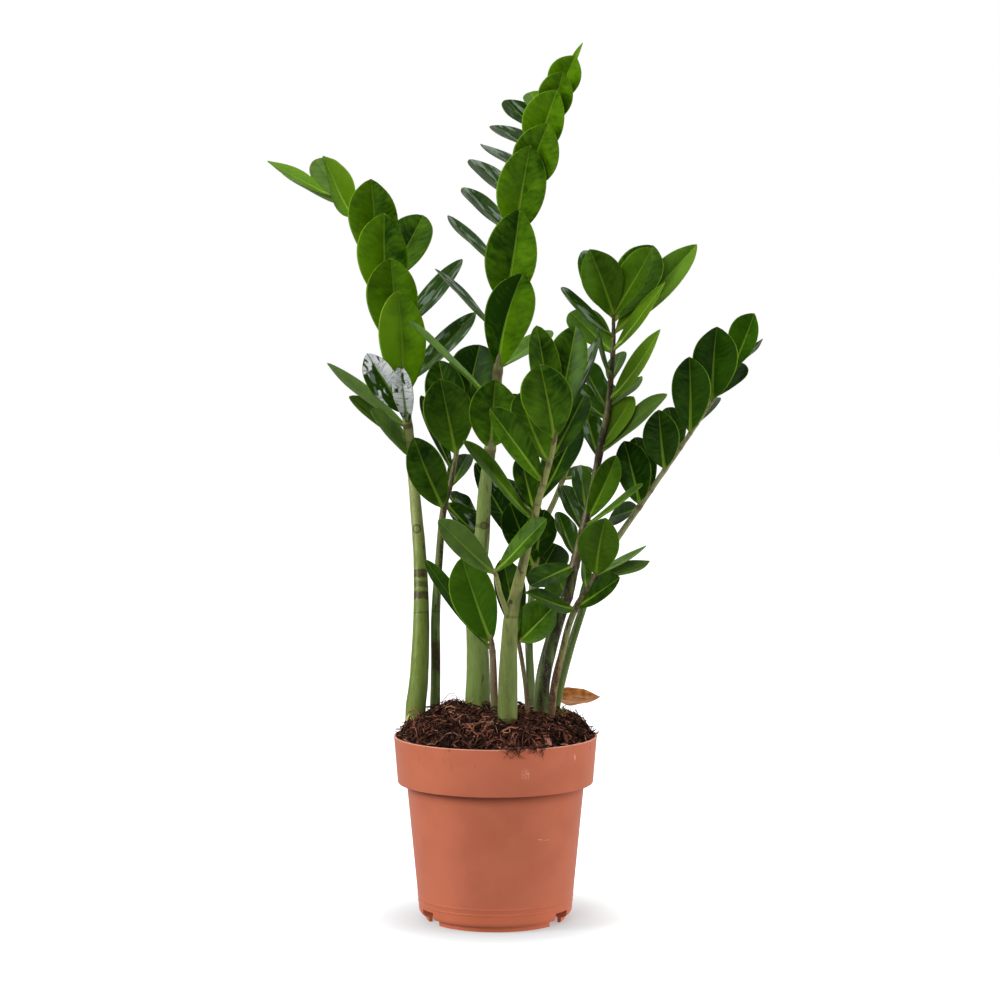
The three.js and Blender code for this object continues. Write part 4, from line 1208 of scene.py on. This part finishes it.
def glossy_leaf_finish(name, specular):
    """Dark, smooth leaves, from satin to wet, with painted sheen streaks along the upper face. Long low
    folds in the relief break the gloss, and dull is how much painted reflection there is, pale with dark
    lines along the veins: up to 0.8 mostly on the right half, and at 1 nearly everywhere."""
    f = LeafFinish(name, specular, (15, 40, 3), (50, 84, 16))
    upper = f.ramp(f.under, 0.6, 0.4)
    wet = f.ramp(f.gloss, 0.85, 1)
    # Painted sheen: pale streaks along the upper face, where gloss would catch the light.
    painted_sheen = f.ramp(f.along_noise(0.3, 6, 2) - wet * 0.04, 0.53, 0.63) * upper * f.ramp(f.rim, 1, 0.8)
    f.coat(painted_sheen * 0.42, (168, 184, 170))

    # Painted reflection: a pale glare broken by dark lines along the veins, mostly on the right half at
    # dull 0.8.
    left = f.ramp_mm(f.out, 0.4, -0.4) * f.ramp(f.dull, 1, 0.8, 0, 0.21)
    limit = left + 0.33 + f.ramp(f.along, 0.3, 0.16, 0, 0.2)
    along_veins = f.join(f.slant, f.run * 0.5, f.seed)
    lines = abs(f.noise(along_veins, 5, 1) - 0.5)
    glare_mask = f.ramp(f.along_noise(0.4, 5, 1) - limit, -0.03, 0.05)
    glare_mask = glare_mask * f.ramp(lines, 0, 0.028, 0.2, 1) * f.ramp(f.midrib, 1, 0, 0.15, 1)
    glare_mask = glare_mask * f.ramp(f.dull, 0.3, 0.6) * upper * f.ramp(f.rim, 0.99, 0.93)
    silver = f.mix(f.ramp(f.noise(along_veins, 3, 2), 0.4, 0.6), (222, 228, 234), (255, 255, 255))
    f.coat(glare_mask, silver)

    roughness = f.ramp(f.gloss, 0.8, 1, 0.3, 0.18) + f.under * 0.2 + glare_mask * 0.3
    ripples = f.along_noise(0.6, 7, 1) * wet * 1.2
    return f.done(roughness, f.along_noise(0.2, 3.2, 2) + ripples + f.relief * 0.1, 0.5)


def stem_finish(name, look):
    """Green stem, more or less covered with bark, with its bands, scars and soil at the foot."""
    f = Finish(name + "_stem", 0.5)
    height, scar, bark = f.attribute("stem")
    place = f.place()
    x, y, z = f.split(place)
    grain = f.join(x, y, z * 0.16)
    streaks, broad, flecks = f.noise(grain, 2.2, 4, 0.6), f.noise(grain, 6, 2), f.noise(place, 1.1)

    f.colour = f.mix(f.ramp_mm(height, *look.turn), look.low, look.high)
    f.coat(f.ramp(streaks, 0.42, 0.7, 0, 0.45), (62, 80, 26))
    f.coat(f.ramp(broad, 0.45, 0.65, 0, 0.3), (128, 138, 84))
    f.coat(f.ramp(flecks, 0.64, 0.72, 0, 0.3), (176, 184, 130))
    barky = f.ramp(bark * 0.4 + 0.3 - (streaks * 0.5 + broad * 0.5), -0.03, 0.05)
    f.coat(barky * 0.85, look.bark)
    f.coat(barky * f.ramp(flecks, 0.52, 0.66) * 0.4, (150, 132, 106))
    f.coat(f.ramp(scar, 0.35, 0.85) * 0.55, (92, 66, 48))
    earthy = z + (broad - 0.5) * 0.03 + (flecks - 0.5) * 0.02
    f.coat(f.ramp_mm(earthy, look.earth, look.earth - 10) * 0.55, (96, 74, 48))

    marked = 0
    wobble = height + (f.noise(place, 5, 2) - 0.5) * 0.0022
    for level, half, power in BANDS.get(name, ()):
        band = f.ramp_mm(abs(wobble - level * MM), half * 1.25, half * 0.8, 0, power)
        marked = f.math("MAXIMUM", marked, band)
    marked = f.ramp(streaks, 0.3, 0.5, 0.45, 0.85) * marked
    for centre, radius, hollow in spots(name, SCARS):
        off = f.vector_math("DISTANCE", place, centre)
        disc = f.ramp_mm(off, radius * 1.1, radius * 0.9, 0, 0.8)
        hole = f.ramp_mm(off, radius * 0.75, radius * 0.55, 0, 0.6 * hollow)
        marked = f.math("MAXIMUM", marked, disc - hole)
    f.coat(marked, (60, 42, 26))
    for centre, radius, _ in spots(name, PALE_PATCHES):
        off = f.vector_math("DISTANCE", place, centre) + (flecks - 0.5) * 0.006
        f.coat(f.ramp_mm(off, radius, radius * 0.6, 0, 0.7), (206, 204, 132))

    roughness = barky * 0.3 + 0.38 + (streaks - 0.5) * 0.25
    return f.done(roughness, streaks + flecks * 0.4 + barky * 0.5 - marked * 0.6, 0.3)


def pot_finish():
    """Moulded plastic, with painted shade under the collar, painted bounce light on its lowest part and a
    painted highlight along the rim, a little soiled near the rim and with light scuffs.
    """
    f = Finish("terracotta_plastic", 0.3)
    place = f.place()
    x, y, z = f.split(place)
    out = f.math("SQRT", x * x + y * y)
    cloud, grain = f.noise(place, 34), f.noise(place, 1.1, 2)
    drag = f.noise(f.join(x * 0.25, y * 0.25, z), 2.4)
    f.colour = f.mix(f.ramp(cloud, 0.3, 0.7), (183, 101, 73), (191, 107, 79))
    f.coat(f.ramp(grain, 0.6, 0.8, 0, 0.12), (222, 150, 120))
    f.coat(f.ramp(drag, 0.62, 0.78, 0, 0.1), (170, 88, 62))
    rim, top, ledge, neck = POT["rim"], POT["height"], POT["ledge"], POT["neck"]
    # Painted shade: the neck darkened just under the collar.
    painted_collar_shade = f.ramp_mm(z, ledge - 10.8, ledge - 0.2, 0, 0.5) * f.ramp_mm(out, neck + 2.1, neck + 1.1)
    f.coat(painted_collar_shade, (112, 50, 32))
    # Painted bounce light: the lowest part of the pot more saturated orange.
    f.coat(f.ramp_mm(z, 30, 4, 0, 0.35), (212, 104, 64))
    # Painted highlight: a thin light line along the rim's outer edge.
    rim_highlight = f.ramp_mm(z, top - 0.9, top - 0.3) * f.ramp_mm(out, rim - 1.8, rim - 1.2)
    f.coat(rim_highlight * 0.55, (236, 180, 156))

    smudges = f.noise(f.join(x, y, z * 0.35), 5, 4, 0.6)
    near_rim = f.ramp_mm(z, top - 24, top - 2) * f.ramp_mm(out, rim - 3.5, rim - 2)
    soiled = f.ramp(smudges + near_rim * 0.05, 0.66, 0.74) * near_rim
    f.coat(soiled * 0.4, (92, 48, 32))
    worn = f.ramp(f.noise(place, 1.6, 4, 0.65), 0.45, 0.6)
    for middle_x, middle_z, wide, high, strength in SCUFFS:
        right = x - middle_x * MM
        off_x, off_z = right * (1 / (wide * MM)), (z + right * 0.12 - middle_z * MM) * (1 / (high * MM))
        near = f.ramp(off_x * off_x + off_z * off_z, 1, 0.3, 0, strength)
        f.coat(near * worn * f.ramp_mm(y, 0, -10), (240, 196, 176))

    roughness = (cloud - 0.5) * 0.12 + 0.44 + (grain - 0.5) * 0.1
    return f.done(roughness, grain * 0.5 + drag * 0.3, 0.05)


def soil_finish():
    f = Finish("coir_soil", 0.1)
    lumps, crumbs = f.noise(f.place(), 5), f.noise(f.place(), 1.2, 4, 0.65)
    f.colour = f.mix(f.ramp(lumps, 0.35, 0.65), (14, 7, 5), (38, 20, 15))
    f.coat(f.ramp(crumbs, 0.55, 0.75, 0, 0.6), (78, 44, 32))
    return f.done(0.9, lumps + crumbs, 1.2)


def litter_finish(name):
    """Coir, roots and specks, by their tints."""
    f = Finish(name, 0.2)
    shade, root, white = f.attribute("tint")
    flecks = f.noise(f.place(), 0.8)
    f.colour = f.mix(shade + (flecks - 0.5) * 0.6, (17, 8, 6), (160, 100, 78))
    f.coat(root, f.mix(f.ramp(flecks, 0.35, 0.65), (146, 96, 70), (216, 170, 138)))
    f.coat(white, (226, 208, 200))
    return f.done(f.ramp(flecks, 0.3, 0.7, 0.6, 0.85), flecks, 0.25)


def dry_finish():
    """Blotched and wrinkled brown, paler on the leaf's lower half."""
    f = Finish("dry_leaf", 0.35)
    place = f.place()
    x, y, z = f.split(place)
    wrinkles = f.noise(f.join(x * 0.35, y, z * 1.4), 3, 4, 0.6)
    f.colour = f.mix(f.ramp(f.noise(place, 7), 0.35, 0.6), (158, 88, 30), (206, 136, 66))
    f.coat(f.ramp_mm(z, 182, 178.5, 0, 0.5), (228, 176, 136))
    f.coat(f.ramp(wrinkles, 0.5, 0.7, 0, 0.6), (110, 58, 24))
    return f.done(f.ramp(wrinkles, 0.3, 0.7, 0.5, 0.7), wrinkles, 0.8)


def floor_finish():
    """Pale ground that glows, so that it stays plain. Its glow is weaker round the pot's foot, a painted
    shadow, and its grey there turns a little blue-green, which paints out the orange light that the pot
    throws on it.
    """
    f = Finish("floor", 0)
    x, y, _ = f.split(f.place())
    away = f.math("SQRT", x * x + y * y)
    f.feed(f.sockets["Emission Color"], (255, 255, 255))
    # Painted shadow: the glow is weaker near the pot's foot.
    f.feed(f.sockets["Emission Strength"], f.ramp_mm(away, 50, 175, 0.32, 0.92))
    # Painted out bounce light: a cooler grey near the foot against the pot's orange light.
    f.colour = f.mix(f.ramp_mm(away, 160, 70), (190, 190, 190), (176, 184, 186))
    f.coat(f.noise(f.place(), 40, 2) * 0.1, (196, 196, 196))
    return f.done(0.9)


# ---------------------------------------------------------------- studio

# Towards the window that the gloss reflects.
WINDOW = np.array([-2.2, -0.8, 1.3])
# Soft square lights, in metres and watts: (name, place, what it aims at, size, power)
LIGHTS = [
    ("key", (-2.2, -0.9, 1.3), (0, 0, 0.35), 0.9, 40),
    ("fill", (2.2, -0.4, 0.4), (0, 0, 0.15), 1.0, 36),
    ("front", (-0.9, -2.2, 1.2), (0, 0, 0.35), 1.0, 22),
    ("top", (0.1, 0.3, 2.4), (0, 0, 0.35), 1.4, 16),
]
FLOOR_REACH = 9000
SENSOR, LENS, CAMERA_DOWN = 36, 86.5, math.radians(2.9)


def make_world():
    """Plain white to the camera, and to the plant a soft tent: dim in front, bright behind and above.
    What gloss reflects is darker in front and has one bright window up to the left."""
    world = bpy.data.worlds.new("studio")
    world.use_nodes = True
    g = Graph(world.node_tree)
    g.tree.nodes.clear()
    way = g.wire("TexCoord", output="Generated")
    x, y, z = g.split(way)
    tent = (
        g.ramp(y, 0.1, 0.95, 0, 0.6) + 0.15 + g.ramp(z, 0.2, 1, 0, 0.35) + g.ramp(z, 0, -0.6, 0, 0.3)
        + g.ramp(abs(x), 0.3, 1, 0, 0.4)
    )
    window = g.vector_math("DOT_PRODUCT", way, unit(WINDOW))
    gleam = (
        g.ramp(y, 0.3, 0.95, 0, 0.6) + 0.02 + g.ramp(z, 0.5, 1, 0, 0.6) + g.ramp(z, -0.2, -0.9, 0, 0.2)
        + g.ramp(window, 0.93, 0.96, 0, 7)
    )
    glossy, seen = (g.wire("LightPath", output=f"Is {ray} Ray") for ray in ("Glossy", "Camera"))
    strength = g.wire("Mix", {0: glossy, 2: tent, 3: gleam})
    around, plain = (
        g.wire("Background", {"Color": (255, 255, 255), "Strength": light}) for light in (strength, 1)
    )
    output = g.node("OutputWorld", {"Surface": g.wire("MixShader", {0: seen, 1: around, 2: plain})})
    output.is_active_output = True
    bpy.context.scene.world = world


def add_to_scene(name, data, place, turn):
    item = bpy.data.objects.new(name, data)
    item.location, item.rotation_euler = place, turn
    bpy.context.scene.collection.objects.link(item)
    return item


def make_studio():
    make_world()
    for name, place, aim, size, watts in LIGHTS:
        data = bpy.data.lights.new(name, "AREA")
        data.shape, data.size, data.energy = "SQUARE", size, watts
        turn = (Vector(aim) - Vector(place)).to_track_quat("-Z", "Y").to_euler()
        light = add_to_scene(name, data, place, turn)
        light.visible_camera = light.visible_glossy = False
    outline = [(x * FLOOR_REACH, y * FLOOR_REACH, 0) for x, y in ((-1, -1), (1, -1), (1, 1), (-1, 1))]
    floor = make_object("floor", outline, [(0, 1, 2, 3)], floor_finish())
    floor.visible_diffuse = floor.visible_glossy = False
    floor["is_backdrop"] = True


def make_camera():
    data = bpy.data.cameras.new("camera")
    data.sensor_width, data.lens = SENSOR, LENS
    turn = (math.radians(90) - CAMERA_DOWN, 0, 0)
    bpy.context.scene.camera = add_to_scene("camera", data, Vector(EYE) * MM, turn)


# ---------------------------------------------------------------- all of it

def corners(box):
    return [list(corner) for corner in box]


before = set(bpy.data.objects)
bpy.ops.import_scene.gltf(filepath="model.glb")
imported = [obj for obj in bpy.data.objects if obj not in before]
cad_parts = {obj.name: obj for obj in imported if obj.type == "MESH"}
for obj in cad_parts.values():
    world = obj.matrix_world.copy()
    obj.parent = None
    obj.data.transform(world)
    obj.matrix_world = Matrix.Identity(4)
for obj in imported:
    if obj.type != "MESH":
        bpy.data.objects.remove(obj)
cad_box = corners(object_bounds())
bpy.context.scene.view_settings.view_transform = "Standard"

LEAF_FINISHES = {
    "leaf_bright": leaf_finish("leaf_bright", (26, 56, 1), (90, 134, 5)),
    "leaf": leaf_finish("leaf_green", (20, 46, 2), (76, 114, 16)),
    "leaf_dark": leaf_finish("leaf_dark", (15, 40, 1), (52, 92, 8)),
    "satin_leaflets": glossy_leaf_finish("satin_leaf", 0.07),
    "glossy_leaflets": glossy_leaf_finish("glossy_leaf", 0.34),
}
for seed, name in enumerate(FRONDS):
    leaflets(name, seed)
    stems(name, seed)
make_pot()
make_soil()
litter_draw = np.random.default_rng(LITTER_SEED)
make_fibres(litter_draw)
make_crumbs(litter_draw)
make_roots(litter_draw)
make_dry_leaf()
make_sprout()
make_studio()
make_camera()

{"cad": cad_box, "visual": corners(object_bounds())}
